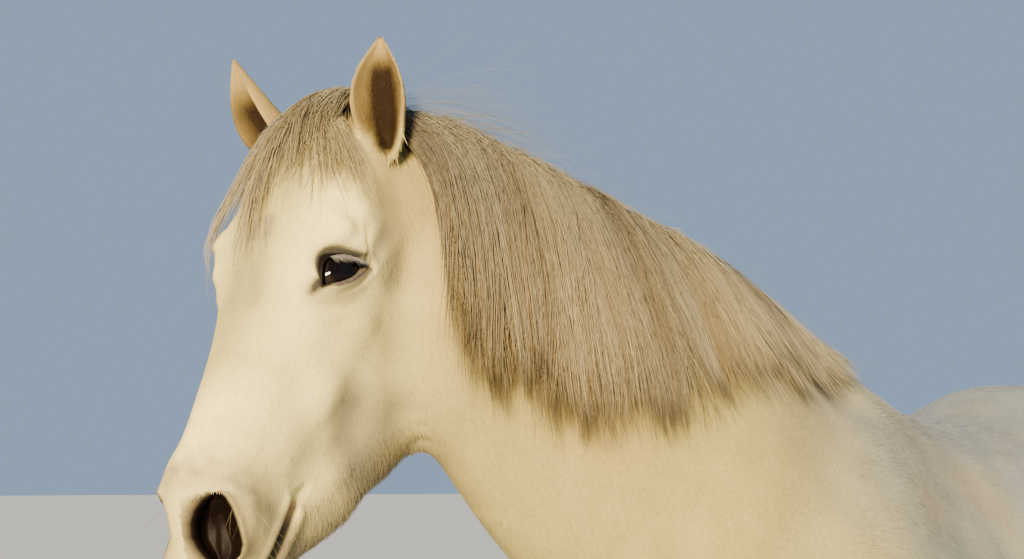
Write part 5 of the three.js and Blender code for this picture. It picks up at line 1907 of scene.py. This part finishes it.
class HORSE_OT_fine_hair(bpy.types.Operator):
    """Adds the lashes, the whiskers, the hair in the ears and the hair of the fetlocks"""

    bl_idname = "horse.fine_hair"
    bl_label = "Lashes, whiskers, ear and fetlock hair"

    def execute(self, context):
        surface = Surface()
        seed = context.scene.horse_sizes.seed
        draws = np.random.default_rng(seed + 500)
        material = hair_finish("fine_hair")
        lines = np.concatenate([lash_lines(draws, lid, sign) for lid in LASHES for sign in (1, -1)])
        count = len(lines)
        colours = np.clip(np.array(LASH_COLOUR) * draws.uniform(0.3, 1.3, (count, 1)), 0, 1)
        add_hairs("lashes", lines, outward_ups(surface, lines), np.full(count, LASH_HAIR), colours,
                  head_unwrap(lines[:, 0]), material, "face_coat")

        body = surface.body_places
        coated = 1 - surface.bare
        fetlock = smoothstep(0.1, 0.5, -(surface.normals @ BODY[0]))
        fetlock = fetlock * smoothstep(0.10, 0.14, body[:, 2]) * smoothstep(0.26, 0.18, body[:, 2])
        weights = {"whiskers": swell(surface.head_places, BRISTLY, 0.06) * coated,
                   "ear_hair": surface.hollow ** 2 * coated, "fetlock_hair": fetlock}
        for name, slot, unwrap, count, length, width, lift, tone in LONGER_PIECES:
            draws = np.random.default_rng(seed + len(name) * 31)
            read = surface.scatter(weights[name], count, draws)
            lengths = length * draws.uniform(0.6, 1.3, count)
            lifts = lift * draws.uniform(0.5, 1.3, count)
            swing = 0.35 * draws.normal(size=count)
            lines, normals = tuft_lines(surface, read, lengths, lifts, swing, LONGER_STEPS, 0.35)
            colours = read(surface.colours) * tone * draws.uniform(0.6, 1.3, (count, 1))
            ups = np.repeat(normals[:, None, :], LONGER_STEPS, axis=1)
            add_hairs(name, lines, ups, np.full(count, width), np.clip(colours, DARKEST, 0.8),
                      unwrap(lines[:, 0]), material, slot)
        return {"FINISHED"}


# ---------------------------------------------------------------- stage

CAMERA_PLACE = (2.633, 1.019, 1.312)
CAMERA_TURN = -145.39
CAMERA_RISE = 5.72
# The focal length, in pixels of a render of this width.
CAMERA_FOCUS = 1768
RENDER_WIDTH = 1024
SENSOR_WIDTH = 36.0
# The sun's place and aim on the body's axes, its strength, its width in degrees and its colour.
SUN_PLACE = (5.0, 1.5, 2.35)
SUN_AIM = (0.9, -0.2, 1.45)
SUN_STRENGTH = 13.5
SUN_WIDTH = 12
SUN_COLOUR = (1.0, 0.82, 0.50)
SKY_COLOUR = (0.50, 0.68, 0.95, 1)
SKY_STRENGTH = 0.60
FLOOR_REACH = 60.0


def set_up(name, data, place, look):
    """A lamp or a camera at a place on the body's axes, looking one way."""
    piece = new_object(name, data)
    piece.location = from_body(place)
    piece.rotation_euler = Vector(look).to_track_quat("-Z", "Y").to_euler()
    return piece


class HORSE_OT_stage(bpy.types.Operator):
    """Lays the floor and sets the lights and the camera"""

    bl_idname = "horse.stage"
    bl_label = "Floor, lights and camera"

    def execute(self, context):
        made = bmesh.new()
        bmesh.ops.create_circle(made, cap_ends=True, segments=96, radius=FLOOR_REACH)
        floor = new_object("floor", as_mesh(made, "floor"))
        plain = Finish("pale_floor", {"Roughness": 0.8})
        plain.feed("Base Color", plain.ramp(plain.noise(plain.where(), 3, 4), (0.3, 0.60), (0.7, 0.66)))
        floor.data.materials.append(plain.material)
        world = bpy.data.worlds.new("studio")
        world.use_nodes = True
        background = world.node_tree.nodes["Background"]
        socket(background, "Color", SKY_COLOUR)
        socket(background, "Strength", SKY_STRENGTH)
        context.scene.world = world
        lamp = bpy.data.lights.new("key", "SUN")
        lamp.energy = SUN_STRENGTH
        lamp.angle = math.radians(SUN_WIDTH)
        lamp.color = SUN_COLOUR
        set_up("key", lamp, SUN_PLACE, Vector(from_body(SUN_AIM)) - Vector(from_body(SUN_PLACE)))
        camera = bpy.data.cameras.new("camera")
        camera.sensor_width = SENSOR_WIDTH
        camera.lens = SENSOR_WIDTH * CAMERA_FOCUS / RENDER_WIDTH
        camera.clip_end = 200.0
        turn = math.radians(CAMERA_TURN)
        rise = math.radians(CAMERA_RISE)
        look = np.array((math.cos(turn) * math.cos(rise), math.sin(turn) * math.cos(rise), math.sin(rise)))
        context.scene.camera = set_up("camera", camera, CAMERA_PLACE, look @ BODY)
        return {"FINISHED"}


OPERATORS = [HORSE_OT_skin, HORSE_OT_eyes, HORSE_OT_hooves, HORSE_OT_coat, HORSE_OT_mane, HORSE_OT_loose_hair,
             HORSE_OT_forelock, HORSE_OT_tail, HORSE_OT_fine_hair, HORSE_OT_stage]


class HORSE_PT_panel(bpy.types.Panel):
    """Lists the steps that build the horse"""

    bl_idname = "HORSE_PT_panel"
    bl_label = "Horse"
    bl_space_type = "VIEW_3D"
    bl_region_type = "UI"
    bl_category = "Horse"

    def draw(self, context):
        for step in OPERATORS:
            self.layout.operator(step.bl_idname)


CLASSES = [HorseSizes, HorseTints, *OPERATORS, HORSE_PT_panel]


def register():
    for made in CLASSES:
        bpy.utils.register_class(made)
    bpy.types.Scene.horse_sizes = PointerProperty(type=HorseSizes)
    bpy.types.Scene.horse_tints = PointerProperty(type=HorseTints)


def unregister():
    del bpy.types.Scene.horse_sizes
    del bpy.types.Scene.horse_tints
    for made in reversed(CLASSES):
        bpy.utils.unregister_class(made)


def main():
    register()
    bpy.ops.horse.skin()
    bpy.ops.horse.eyes()
    bpy.ops.horse.hooves()
    bpy.ops.horse.coat()
    bpy.ops.horse.mane()
    bpy.ops.horse.loose_hair()
    bpy.ops.horse.forelock()
    bpy.ops.horse.tail()
    bpy.ops.horse.fine_hair()
    bpy.ops.horse.stage()


if __name__ == "__main__":
    main()
